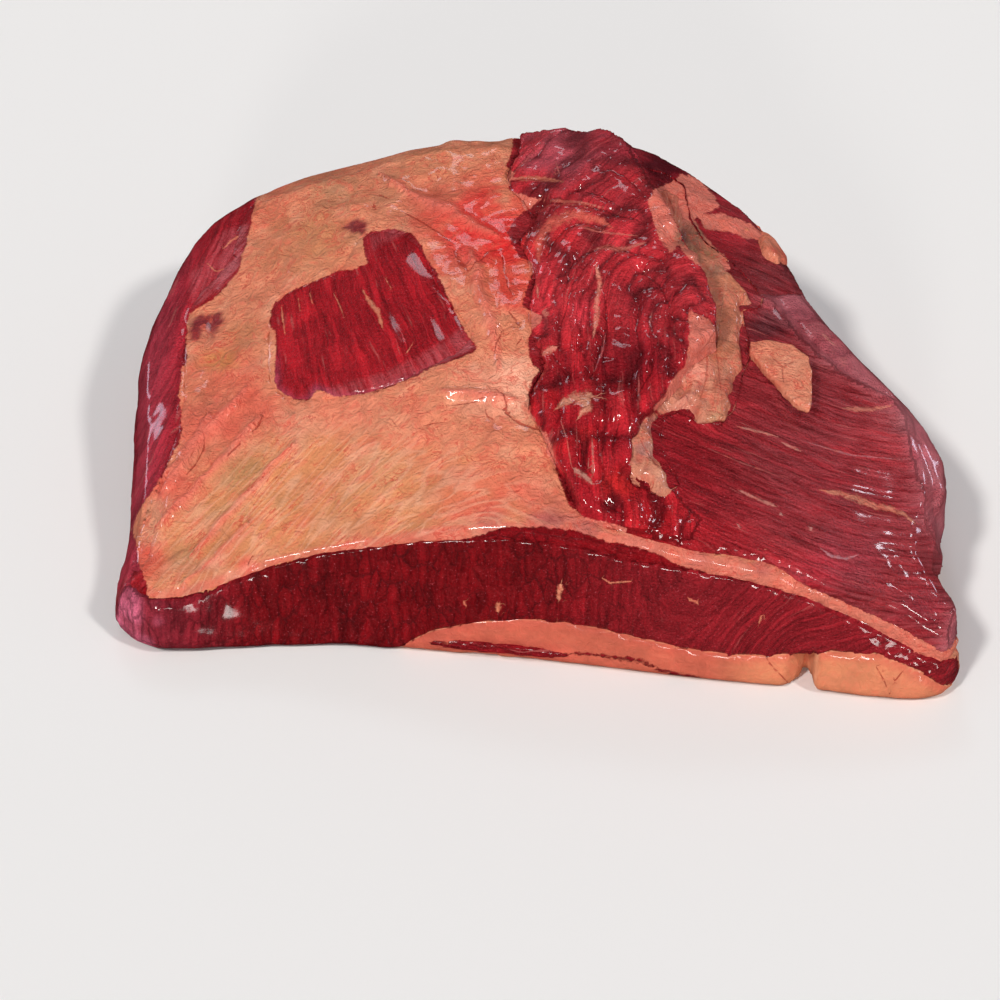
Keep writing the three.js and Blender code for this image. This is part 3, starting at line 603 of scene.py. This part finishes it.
# The seam fat is a soft sheet of fat and silverskin between the two muscles. It lies open over the left of
# the top, stained with blood by the ridge, dips under the upper muscle and shows again as the pale line in
# the cut.
# Cracks in the seam fat, drawn red. The lines at the ridge's foot, from (495, 388) to (543, 435), and the line along
# the fat's left border near (180, 410) are painted shadow where the fat meets the muscle.
FAT_CRACKS_AND_SHADOW_LINES = (
    (((264, 415), (258, 427), (251, 435)), 0.35), (((243, 444), (236, 452), (227, 461)), 0.3), (((206, 435),
    (204, 449), (196, 464), (184, 477)), 0.35), (((445, 421), (434, 423), (422, 426)), 0.3), (((495, 388),
    (504, 397), (507, 410), (514, 416)), 0.45), (((498, 405), (514, 421), (530, 428), (543, 435)), 0.5),
    (((485, 408), (487, 416), (496, 421)), 0.35), (((449, 406), (470, 403), (490, 399)), 0.25),
    (((391, 419), (395, 424), (400, 432)), 0.25), (((397, 209), (425, 223), (449, 241), (458, 246)), 0.4),
    (((453, 249), (459, 260), (469, 272)), 0.9), (((469, 272), (480, 262), (488, 251), (504, 250)), 0.4),
    (((502, 250), (504, 268), (508, 287), (513, 296)), 0.35), (((508, 311), (514, 318), (521, 329)), 0.6),
    (((503, 330), (498, 344), (494, 357)), 0.3), (((524, 336), (515, 348)), 0.25), (((378, 195),
    (390, 198)), 0.35), (((373, 203), (376, 210)), 0.8), (((178, 392), (181, 410), (180, 432)), 0.5),
    (((146, 540), (149, 556)), 0.4), (((506, 400), (508, 415)), 0.3), (((254, 553), (249, 562), (247, 568)),
    0.3), (((225, 232), (240, 262)), 0.3))
FAT_FOLDS = (
    (((250, 386), (226, 414), (201, 439), (176, 477), (146, 508)), 2.0), (((213, 414), (188, 452),
    (163, 481)), 1.4), (((264, 414), (239, 443), (218, 469), (184, 502), (155, 532)), 1.8), (((252, 520),
    (214, 560), (180, 590)), 1.5), (((300, 440), (262, 480), (225, 520), (190, 560)), 1.6), (((470, 250),
    (480, 290), (494, 330), (500, 372)), 2.4), (((380, 176), (430, 206), (468, 226)), 1.6), (((398, 190),
    (452, 215), (500, 240)), 2.0), (((440, 392), (480, 398), (520, 402)), 1.8))
THIN_PLACES = (
    ((190, 320), (201, 317), (220, 313), (222, 322), (212, 335), (205, 328), (196, 339), (189, 336)),
    ((342, 228), (358, 219), (367, 225), (362, 233), (354, 231)))

piece, points, normals = flesh("seam_fat", "seam_fat_flesh", 1.22, 2)
pixels = in_picture(points)
seen = ease(0.05, 0.3, normals @ to_camera)
to_lean, way = off_solids(points, LEAN_NODES)
x, y, z = points.T
px, py = pixels.T
cut = ease(0.2, 0.5, -normals[:, 1]) * ease(-76, -84, y)
_, silver, grain = open_fat_colours(points, pixels, seen)
to_point, _ = off_solids(points, ["point_muscle"], 20.0)
band = 9 - to_point + 3 * hills(points, 9, 46) + 16 * ease(10, -10, x)
by_picture = (seen > 0.02) | (px < 175) & (y < 20)
crack_and_crease_shade, share, _ = near_lines(FAT_CRACKS_AND_SHADOW_LINES, pixels)
relief = 0.7 * hills(points, 20, 4) + 0.5 * hills(points, 9, 5)
relief += 0.35 * hills(points, 3.5, 22) * (1 - silver)
relief += ease(30, 80, y) * (1.0 * hills(points, 12, 41) + 0.6 * hills(points, 5, 42))
streaked = 0.8 * lumps(grain[:, 0] / 5, grain[:, 1] / 36, seed=6)
relief += silver * (streaked + 0.4 * lumps(grain[:, 0] / 2.6, grain[:, 1] / 20, seed=23))
fold, fold_share, _ = near_lines(FAT_FOLDS, pixels)
fold = fold_share * ease(1.6, 0, np.abs(fold + 0.6 * hills(points, 5, 49))) * seen
relief += 3.2 * fold + 0.7 * (1 - silver) * np.abs(hills(points, 6, 50)) ** 0.7
relief -= 0.9 * seen * ease(2.4, 0.0, np.min([off_line(line, pixels) for line, half in FAT_CRACKS_AND_SHADOW_LINES], 0))
join(points, to_lean, way)
points += normals * (0.4 + 0.6 * relief * (1 - cut) * ease(0.5, 2.2, to_lean))[:, None]
tuck_in(points, px, py)
points += normals * (1.3 * (1 - seen) * ease(9, 2, to_point) * ease(-70, -60, y))[:, None]
pixels = in_picture(points)
px, py = pixels.T
in_cut = np.where(cut > 0.3, ease(640, 760, px), 0)
depth = np.where(by_picture, open_fat(pixels) * (1 - in_cut) + (to_lean + LAYER_GAP) * in_cut,
                 np.minimum(to_lean - LAYER_GAP, band))
paint, silver, grain = open_fat_colours(points, pixels, seen)
paint = stain(paint, 0.75 * fold, "#EC7866")
for place in THIN_PLACES:
    thin = deep_in(place, pixels) + 0.9 * hills(points, 2.5, 53)
    paint = stain(paint, ease(-1.2, 0.5, thin) * seen, "#8E3236")
paint = stain(paint, 0.65 * cut, "#D0645A")
film = np.maximum(0.15, film_over(pixels)) * (1 - cut) * (depth < 0)
# Painted shade in part: the lean drawn on this sheet is a darker red on the cut face, the cut's own colour together
# with shade for a face that gets less light.
lean = stain(np.tile(colour("#9A101A"), (len(points), 1)), cut, "#8A0A14")
settle(piece, points, meat("seam_fat_and_silverskin", wetness=0.42), grain, depth, fat=paint, lean=lean,
       crack_and_crease_shade=(crack_and_crease_shade, share * seen), cut=cut, silver=silver, film=film)
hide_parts("seam_fat")
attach(piece, "root")

# The point muscle is the upper layer of lean. Its left part is torn into a high ragged ridge, with strands
# that wrap round it, and its right part is smooth with long fibres that run down to the right.
RIDGE = (
    (500, 130), (500, 240), (520, 262), (520, 440), (545, 440), (560, 490), (580, 518), (630, 528),
    (690, 540), (700, 520), (672, 492), (645, 490), (629, 465), (628, 445), (641, 416), (660, 396),
    (680, 380), (690, 360), (692, 334), (718, 328), (716, 300), (700, 262), (690, 245), (680, 228),
    (665, 205), (650, 185), (635, 160), (610, 120))
RIDGE_CORE = ((694, 325), (704, 560))
# Creases in the ridge: dented in the surface, and their near-black colour on the lean is painted shade.
RIDGE_CREASES = (
    (((505, 172), (525, 174), (557, 177)), 0.5), (((508, 191), (534, 198), (560, 199), (590, 205)), 0.5),
    (((540, 202), (575, 203), (612, 211), (650, 222)), 0.5), (((546, 258), (552, 242), (564, 230),
    (582, 222), (600, 224)), 0.5), (((566, 290), (569, 268), (581, 254), (603, 243), (632, 252),
    (665, 262)), 0.5), (((560, 328), (567, 311), (573, 285), (588, 262)), 0.5), (((603, 285), (605, 302),
    (607, 328), (599, 354), (591, 375)), 0.6), (((552, 352), (560, 366)), 0.6), (((556, 396), (560, 412),
    (554, 424)), 0.5), (((554, 440), (559, 470), (575, 502)), 0.5), (((580, 432), (584, 461), (596, 480)),
    0.4), (((599, 420), (598, 452)), 0.4), (((600, 499), (612, 507), (624, 514)), 0.5), (((640, 300),
    (636, 330), (641, 352), (628, 384)), 0.5), (((655, 345), (652, 372), (636, 396)), 0.5), (((575, 190),
    (600, 195), (622, 205)), 0.4), (((600, 165), (628, 178), (645, 196)), 0.4), (((620, 420), (612, 448),
    (616, 470)), 0.5), (((640, 270), (660, 285), (672, 310)), 0.4))
# Stains of the upper muscle; the pale pink spot at (908, 420) on the right fold is partly painted sheen.
LEAN_STAINS = (
    (583, 312, 18, "#FF4250", 1.0), (560, 240, 22, "#D8282E", 0.7), (528, 240, 26, "#EA3434", 0.9), (545,
    300, 24, "#E63640", 0.8), (528, 190, 18, "#C0242C", 0.6), (575, 345, 16, "#C41C26", 0.7), (605, 330, 20,
    "#B81A24", 0.6), (655, 300, 40, "#84101C", 0.8), (635, 360, 42, "#7C0E1A", 0.8), (600, 405, 26,
    "#7C0A14", 0.7), (545, 350, 20, "#DC3038", 0.8), (545, 400, 20, "#BE1C24", 0.7), (560, 445, 14,
    "#BE1A22", 0.8), (588, 436, 14, "#D8282C", 0.8), (618, 484, 24, "#BE2220", 0.7), (610, 505, 14,
    "#5A0810", 0.7), (650, 525, 34, "#BC1820", 0.7), (700, 545, 34, "#BE1E28", 0.6), (770, 270, 36,
    "#6A1018", 0.8), (768, 325, 24, "#540C18", 0.95), (830, 390, 60, "#8A1820", 0.5), (890, 440, 46,
    "#BC3038", 0.7), (908, 420, 20, "#C8787C", 0.8), (560, 150, 46, "#B44C58", 0.85), (620, 150, 30,
    "#8E2C3A", 0.6), (665, 165, 28, "#500A16", 0.9), (690, 192, 22, "#5A0C14", 0.8), (850, 560, 40,
    "#A83A48", 0.5), (740, 545, 40, "#C01C28", 0.7), (810, 570, 30, "#B42030", 0.6), (925, 610, 30,
    "#A82434", 0.6), (780, 555, 26, "#B81E28", 0.6), (760, 470, 60, "#80121A", 0.5), (715, 470, 30,
    "#86101A", 0.6), (570, 505, 10, "#3A0408", 0.6), (610, 200, 34, "#A82630", 0.6), (660, 250, 26,
    "#A01620", 0.5), (640, 440, 22, "#74101A", 0.6), (615, 265, 20, "#B01A24", 0.6), (590, 385, 12,
    "#C82A30", 0.5))
FAT_STREAKS = (
    (((538, 262), (539, 240), (550, 223), (574, 214), (596, 219), (612, 227)), 2.6, "#DC6858"),
    (((593, 250), (605, 247), (620, 250), (631, 247), (646, 242)), 1.1, "#CC7468"), (((596, 264),
    (600, 284), (597, 302), (596, 322), (593, 338)), 1.3, "#E8907C"), (((556, 409), (566, 401), (587, 397),
    (586, 408), (578, 418)), 2.6, "#E09C80"), (((534, 357), (546, 352), (558, 346)), 1.5, "#EC9480"),
    (((573, 468), (584, 476), (593, 484)), 1.6, "#CE9484"), (((592, 437), (593, 456), (593, 476)), 0.6,
    "#C4786E"), (((506, 179), (530, 178), (563, 181)), 1.0, "#DA8468"), (((525, 199), (560, 201),
    (584, 203), (606, 208)), 0.7, "#D47C6C"), (((544, 308), (547, 318)), 1.2, "#D08878"), (((537, 282),
    (538, 300)), 0.6, "#DC8A78"), (((606, 332), (602, 352), (594, 372)), 0.5, "#B06A72"), (((842, 408),
    (871, 410), (893, 405)), 1.0, "#D88470"), (((735, 426), (753, 430), (779, 437)), 0.6, "#CC8478"),
    (((781, 442), (802, 452)), 0.6, "#CC8478"), (((738, 490), (760, 500), (778, 507)), 0.8, "#CC8478"),
    (((820, 490), (846, 495), (865, 502), (881, 507), (903, 513), (915, 523)), 1.5, "#DA8A70"),
    (((821, 333), (836, 346)), 0.6, "#C87C74"), (((819, 547), (831, 556), (846, 559), (860, 554)), 0.7,
    "#B88088"), (((560, 418), (567, 440), (572, 470)), 0.4, "#C8685E"), (((555, 160), (560, 175)), 0.4,
    "#B86460"), (((575, 225), (600, 232), (640, 236)), 0.5, "#CC6A60"), (((810, 526), (812, 531)), 0.8,
    "#D09088"), (((780, 512), (782, 517)), 0.6, "#D09088"), (((737, 524), (741, 529)), 0.6, "#D09088"),
    (((700, 445), (740, 462), (790, 480)), 0.35, "#A85050"), (((800, 440), (850, 455), (905, 460)), 0.4,
    "#C4747A"), (((640, 425), (636, 450), (630, 470)), 0.4, "#B06068"))
ROUGH_FAT = (
    ((690, 313), (702, 318), (709, 323), (717, 332), (720, 350), (716, 384), (712, 402), (713, 414),
    (706, 421), (697, 409), (685, 402), (671, 405), (655, 409), (667, 398), (674, 381), (688, 367),
    (690, 349), (692, 332)), ((655, 192), (674, 183), (682, 176), (697, 180), (713, 197), (717, 206),
    (706, 211), (690, 218), (678, 227), (676, 243), (671, 250), (662, 239), (655, 220), (650, 204)),
    ((700, 215), (722, 216), (737, 220), (750, 226), (764, 238), (748, 236), (730, 230), (706, 226)),
    ((674, 226), (690, 216), (698, 230), (708, 244), (722, 256), (728, 268), (712, 270), (697, 262),
    (684, 250)))
RIGHT_FOLD = (
    (764, 296), (800, 340), (840, 375), (870, 392), (890, 402), (903, 420), (906, 440), (912, 461),
    (917, 480), (920, 509), (929, 535), (941, 561), (946, 600))


def thin_out(points, normals, inner, reach, lean_below):
    """Draws the upper side down on to the lean near its outline, so that the piece has no thick edge."""
    gap, way = off_solids(points, [lean_below])
    way = np.where(gap[:, None] < 7.9, way / np.maximum(gap, 0.1)[:, None], (0, 0, -1))
    sunk = ease(reach, 0.0, inner) * (gap - 0.1) + 0.9 * ease(-0.5, -4.0, inner)
    points += (sunk * ease(-0.3, 0.3, normals[:, 2]))[:, None] * way


SIDE_BULGE = ((430, 462, 490, 523, 548, 579, 604, 629), (0.3, 2.9, 2.3, 0, -0.8, 2.5, 3.6, 0))
piece, points, normals = flesh("point_muscle", "point_muscle_flesh", 1.05, 2)
pixels = in_picture(points)
seen = ease(0.05, 0.3, normals @ to_camera)
to_fat, way = off_solids(points, FAT_NODES)
x, y, z = points.T
px, py = pixels.T
in_ridge = deep_in(RIDGE, pixels)
ridge = ease(-3, 3, in_ridge) * seen
cut = ease(0.2, 0.5, -normals[:, 1]) * ease(-85, -100, y) * ease(2, -2, in_ridge)
join(points, to_fat, way)
around = np.arctan2(np.clip(325 - py, 0, None), px - 694)
ridge_grain = np.stack([off_line(RIDGE_CORE, pixels),
                        28 * around + MM_PER_PIXEL * np.clip(py - 325, 0, None), 0 * px], 1)
course = 0.42 * px - 0.0015 * np.clip(px - 800, 0, 200) ** 2
smooth_grain = MM_PER_PIXEL * np.stack([1.3 * (py - course), 1.15 * px, 0 * px], 1)
fold_x, fold_y = np.array(RIGHT_FOLD).T
beyond = np.where(py > 296, px - np.interp(py, fold_y, fold_x), -99)
patchy = (0.45 + 0.55 * ease(-0.5, 0.5, lumps(x / 14, y / 10, z / 10, seed=54))) * (0.25 + 0.75 * seen)
side_grain = np.stack([1.4 * z + 0.6 * x, y, 0 * x], 1)
smooth_grain = np.where(beyond[:, None] > 4 * hills(points, 6, 52)[:, None], side_grain, smooth_grain)
grain = np.where(seen[:, None] > 0.15, smooth_grain, np.stack([z * 1.3, x + y, 0 * x], 1))
grain = np.where(in_ridge[:, None] > 0, ridge_grain, grain)
crease = np.min([off_line(line, pixels) for line, half in RIDGE_CREASES], 0)
crack_and_crease_shade, share, _ = near_lines(RIDGE_CREASES, pixels)
bulge = hills(points, 13, 10) + 0.5 * hills(points, 6, 26)
wander = 4 * hills(points, 11, 43) + 1.5 * hills(points, 5, 47)
valley = np.abs(lumps((ridge_grain[:, 0] + wander) / 6.5, ridge_grain[:, 1] / 18, seed=8))
groove = np.abs(lumps((ridge_grain[:, 0] + wander) / 3.2, ridge_grain[:, 1] / 12, seed=9))
relief = ridge * (1.5 * bulge + 1.7 * np.sqrt(valley) - 1.0 + 0.9 * np.sqrt(groove) - 1.4 * ease(2.4, 0,
                                                                                                 crease))
relief += ridge * 0.4 * hills(points, 2.4, 14)
relief += (1 - ridge) * (0.5 * hills(points, 14, 11) + 0.25 * lumps(grain[:, 0] / 3, grain[:, 1] / 14,
                                                                    seed=12))
relief += (1 - ridge) * seen * (1.0 * ease(9, 0, np.abs(beyond)) - 0.8 * ease(5, 0, np.abs(beyond - 12)))
relief += 0.9 * ease(5, 0.4, to_fat) * ridge * hills(points, 5, 13)
points += normals * (0.35 + relief * (1 - 0.6 * cut))[:, None]
points[:, 0] += ease(125, 145, x) * np.interp(py, *SIDE_BULGE)
inner = 1.5 * hills(points, 5, 44) - open_fat(pixels) + 9 * ease(-70, -80, y) + 9 * (1 - seen)
thin_out(points, normals, inner, 5.0, "seam_fat")
pixels = in_picture(points)
px, py = pixels.T
paint = np.tile(colour("#9C1C26"), (len(points), 1))
paint = stain(paint, 0.8 * ridge, "#B81A26")
# Painted shade in part: the cut face of this muscle is painted a darker red, the cut's own colour together with shade
# for a face that gets less light.
paint = stain(paint, 0.6 * cut, "#8E0A14")
paint = stain(paint, 0.5 * hills(points, 8, 36), "#6E0A14")
paint = stain(paint, 0.5 * ridge * hills(points, 4, 37), "#D02A34")
paint = stain(paint, 0.25 * ridge * ease(380, 300, py), "#E4444C")
paint = np.where(seen[:, None] > 0, blotch(paint, pixels, points, LEAN_STAINS), paint)
# Painted sheen in part: beyond the right fold the muscle is painted a pale pink, its membrane together with the sheen
# its turned side shows.
paint = stain(paint, 0.7 * patchy * (1 - ridge) * ease(-12, 12, beyond), "#D47482")
# Painted shade and light: the ridge is darkened in the valleys of its relief and painted a lighter red where its
# strands rise.
paint = stain(paint, ridge * 0.7 * ease(0.22, 0.02, valley), "#4E0810")
paint = stain(paint, ridge * 0.45 * ease(0.35, 0.7, valley), "#D03038")
strand, strand_share, number = near_lines([streak[:2] for streak in FAT_STREAKS], pixels)
fatty = np.array([colour(code) for line, half, code in FAT_STREAKS])[number]
depth = np.where((seen > 0.2) & (cut < 0.3), np.minimum(open_fat(pixels), 2), -0.9 - 0.8 * to_fat)
rough_fat = np.max([deep_in(outline, pixels) for outline in ROUGH_FAT], 0) + 0.8
depth = np.where(seen > 0.2, np.maximum(depth, np.minimum(rough_fat, 2)), depth)
fatty = np.where(depth[:, None] > -1.5, np.array(colour("#DE7868")), fatty)
fatty = blotch(fatty, pixels, points, ((690, 238, 18, "#86604C", 0.9), (708, 256, 14, "#A07254", 0.9)))
# The veil over the right muscle and beyond the fold is partly membrane and partly painted sheen.
edge_film_and_sheen = 0.75 * patchy * ease(-30, 14, beyond + 16 * hills(points, 9, 27))
film = 0.09 * ridge * ease(380, 300, py) + (1 - ridge) * (0.3 * ease(680, 800, px) + edge_film_and_sheen)
settle(piece, points, lean_beef, grain, depth, fat=fatty, lean=paint, crack_and_crease_shade=(crack_and_crease_shade, 0.7 * share * ridge),
       strand=(strand, strand_share * seen), cut=0.6 * cut, torn=ridge, film=film)
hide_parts("point_muscle")
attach(piece, "root")

# The fat in the groove lies at the foot of the ridge: a tongue of tan membrane with pinker, rougher fat
# beside it. Its edges thin out on to the muscle.
GROOVE = (
    (702, 246), (718, 257), (726, 258), (736, 274), (750, 284), (760, 300), (744, 302), (742, 334),
    (745, 345), (746, 364), (736, 379), (731, 424), (712, 431), (697, 426), (691, 404), (660, 411),
    (654, 420), (659, 437), (657, 452), (667, 469), (678, 495), (659, 493), (638, 476), (624, 457),
    (629, 442), (634, 426), (650, 414), (676, 395), (689, 375), (690, 335), (692, 300), (680, 270),
    (663, 231), (652, 209), (645, 187), (666, 184), (680, 190), (684, 209), (692, 233))
GROOVE_STAINS = (
    (702, 335, 16, "#D87464", 0.9), (694, 372, 18, "#EE9480", 0.9), (684, 405, 14, "#E08C78", 0.8), (648,
    450, 14, "#BC8078", 0.8), (655, 425, 12, "#8C5A5C", 0.6), (665, 475, 16, "#E2A084", 0.9), (664, 205, 24,
    "#C65A4C", 0.9), (685, 235, 16, "#6E4440", 0.9), (694, 255, 14, "#9C7054", 0.8), (735, 280, 22,
    "#D88462", 0.8), (720, 270, 10, "#A8806A", 0.6), (722, 320, 18, "#B86C50", 0.8), (722, 350, 18,
    "#C07050", 0.7), (725, 385, 15, "#B05A48", 0.8), (716, 418, 12, "#C08A68", 0.9), (706, 330, 12,
    "#C8684E", 0.7))
GROOVE_CREASES = (
    (((690, 222), (694, 240), (706, 256)), 0.5), (((704, 300), (708, 340), (706, 380), (700, 400)), 0.5),
    (((640, 440), (650, 455), (660, 470)), 0.5), (((722, 300), (716, 350), (722, 400)), 0.3), (((666, 192),
    (674, 215)), 0.4))
trimming_fat = meat("trimmed_fat", wetness=0.45)

piece, points, normals = flesh("groove_fat", "groove_fat_flesh", 0.8, 2)
pixels = in_picture(points)
px, py = pixels.T
crumbs = ease(714, 702, px) * ease(290, 310, py)
points += normals * (0.35 + (0.4 + 0.5 * crumbs) * hills(points, 2.6, 17)
                     + 0.5 * hills(points, 8, 18))[:, None]
inner = deep_in(GROOVE, pixels)
thin_out(points, normals, inner + 1.2 * hills(points, 4, 28), 3.0, "point_muscle")
paint = blotch(np.tile(colour("#CC7C62"), (len(points), 1)), pixels, points, GROOVE_STAINS)
paint = stain(paint, 0.6 * crumbs * hills(points, 2.2, 38), "#A85C5C")
crack_and_crease_shade, share, _ = near_lines(GROOVE_CREASES, pixels)
settle(piece, points, trimming_fat, MM_PER_PIXEL * np.stack([px + 0.2 * py, py, 0 * px], 1), inner + 0.6,
       fat=paint,
       crack_and_crease_shade=(crack_and_crease_shade, 0.6 * share), silver=0.45)
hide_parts("groove_fat")
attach(piece, "root")

# The flap is a thin tag of soft fat. The knife left it loose, so it hangs on by one end and lies on the
# muscle with its tip up.
piece, points, normals = flesh("fat_flap", "fat_flap_flesh", 0.6, 2)
pixels = in_picture(points)
points += normals * (0.25 + 0.4 * hills(points, 5, 19) + 0.2 * hills(points, 2, 29))[:, None]
paint = blotch(np.tile(colour("#E48C6E"), (len(points), 1)), pixels, points,
               ((740, 350, 14, "#E06C58", 0.7), (790, 365, 14, "#EEA080", 0.8),
                (775, 385, 12, "#D87058", 0.6)))
crack_and_crease_shade, share, _ = near_lines(((((770, 356), (782, 368), (784, 384)), 0.4), (((782, 368), (794, 362)), 0.3)),
                             pixels)
settle(piece, points, trimming_fat, points[:, [1, 0, 2]], 4.0, fat=paint, crack_and_crease_shade=(crack_and_crease_shade, 0.6 * share),
       silver=0.4)
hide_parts("fat_flap")
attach(piece, "root")

# The fat at the back right edge is what the trimming left of the outer fat there, a soft pink patch that
# thins out on to the muscle.
EDGE_FAT = (
    (742, 219), (757, 226), (781, 238), (790, 255), (788, 265), (776, 260), (764, 250), (759, 234),
    (747, 228))
piece, points, normals = flesh("edge_fat", "edge_fat_flesh", 0.6, 2)
pixels = in_picture(points)
points += normals * (0.3 + 0.6 * hills(points, 4, 20))[:, None]
inner = deep_in(EDGE_FAT, pixels)
thin_out(points, normals, inner + hills(points, 4, 28), 2.0, "point_muscle")
paint = stain(np.tile(colour("#E08468"), (len(points), 1)), 0.8 * hills(points, 5, 31), "#DC5444")
settle(piece, points, trimming_fat, points[:, [1, 0, 2]], inner + 1.2, fat=paint)
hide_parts("edge_fat")
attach(piece, "root")

# The studio is a wide floor of matt white paper under a pale sky, with three soft lamps before the meat and
# one behind. The wet coat mirrors the lamps and four glints, but neither sky nor floor, as in the
# photograph more dark meat lies there and not white paper.
floor_mesh = bpy.data.meshes.new("studio_floor")
floor_mesh.from_pydata([(-4, -4, 0), (4, -4, 0), (4, 4, 0), (-4, 4, 0)], [], [(0, 1, 2, 3)])
floor = bpy.data.objects.new("studio_floor", floor_mesh)
floor.location.z = -0.0004
bpy.context.scene.collection.objects.link(floor)
paper = bpy.data.materials.new("white_paper")
paper.use_nodes = True
paper.node_tree.nodes["Principled BSDF"].inputs["Base Color"].default_value = colour("#F2F1F0")
paper.node_tree.nodes["Principled BSDF"].inputs["Roughness"].default_value = 0.8
floor_mesh.materials.append(paper)
floor.visible_glossy = False

world = bpy.data.worlds.new("white_sky")
world.use_nodes = True
sky = world.node_tree.nodes["Background"]
height = add(world.node_tree, "SeparateXYZ", None, {0: add(world.node_tree, "TexCoord").outputs["Generated"]})
glow = add(world.node_tree, "MapRange", SMOOTH,
           {0: height.outputs[2], 1: 0.02, 2: 0.4, 3: 1.1, 4: 0.2})
world.node_tree.links.new(glow.outputs[0], sky.inputs["Strength"])
sky.inputs["Color"].default_value = colour("#F4F6FF")
world.cycles_visibility.glossy = False
bpy.context.scene.world = world
LAMPS = (
    ("front_left", (-0.5, -0.6, 0.9), 7, 1.62, "#FFFCF8"),
    ("front_right", (0.65, -0.45, 0.85), 7, 1.1, "#FFFCF8"),
    ("front_low", (-0.1, -0.98, 0.22), 8, 0.7, "#FFFCF8"),
    ("behind", (-0.1, 0.75, 0.72), 11, 0.2, "#F0F4FF"),
)
GLINTS = (
    ("glint_low", (0.25, -0.95, 0.16), 9, 0.45, "#FFFCF8"),
    ("glint_right", (0.62, 0.35, 0.66), 5, 0.22, "#F0F4FF"),
    ("glint_rim_left", (-0.78, 0.6, 0.15), 12, 0.25, "#E4E8FF"),
    ("glint_rim_right", (0.78, 0.6, 0.15), 10, 0.3, "#E4E8FF"),
)
for name, source, spread, power, code in LAMPS + GLINTS:
    lamp = bpy.data.objects.new(name, bpy.data.lights.new(name, "SUN"))
    lamp.data.angle = math.radians(spread)
    lamp.data.energy = power
    lamp.data.color = colour(code)[:3]
    lamp.rotation_euler = Vector(source).to_track_quat("Z", "Y").to_euler()
    lamp.visible_diffuse = name in [row[0] for row in LAMPS]
    bpy.context.scene.collection.objects.link(lamp)
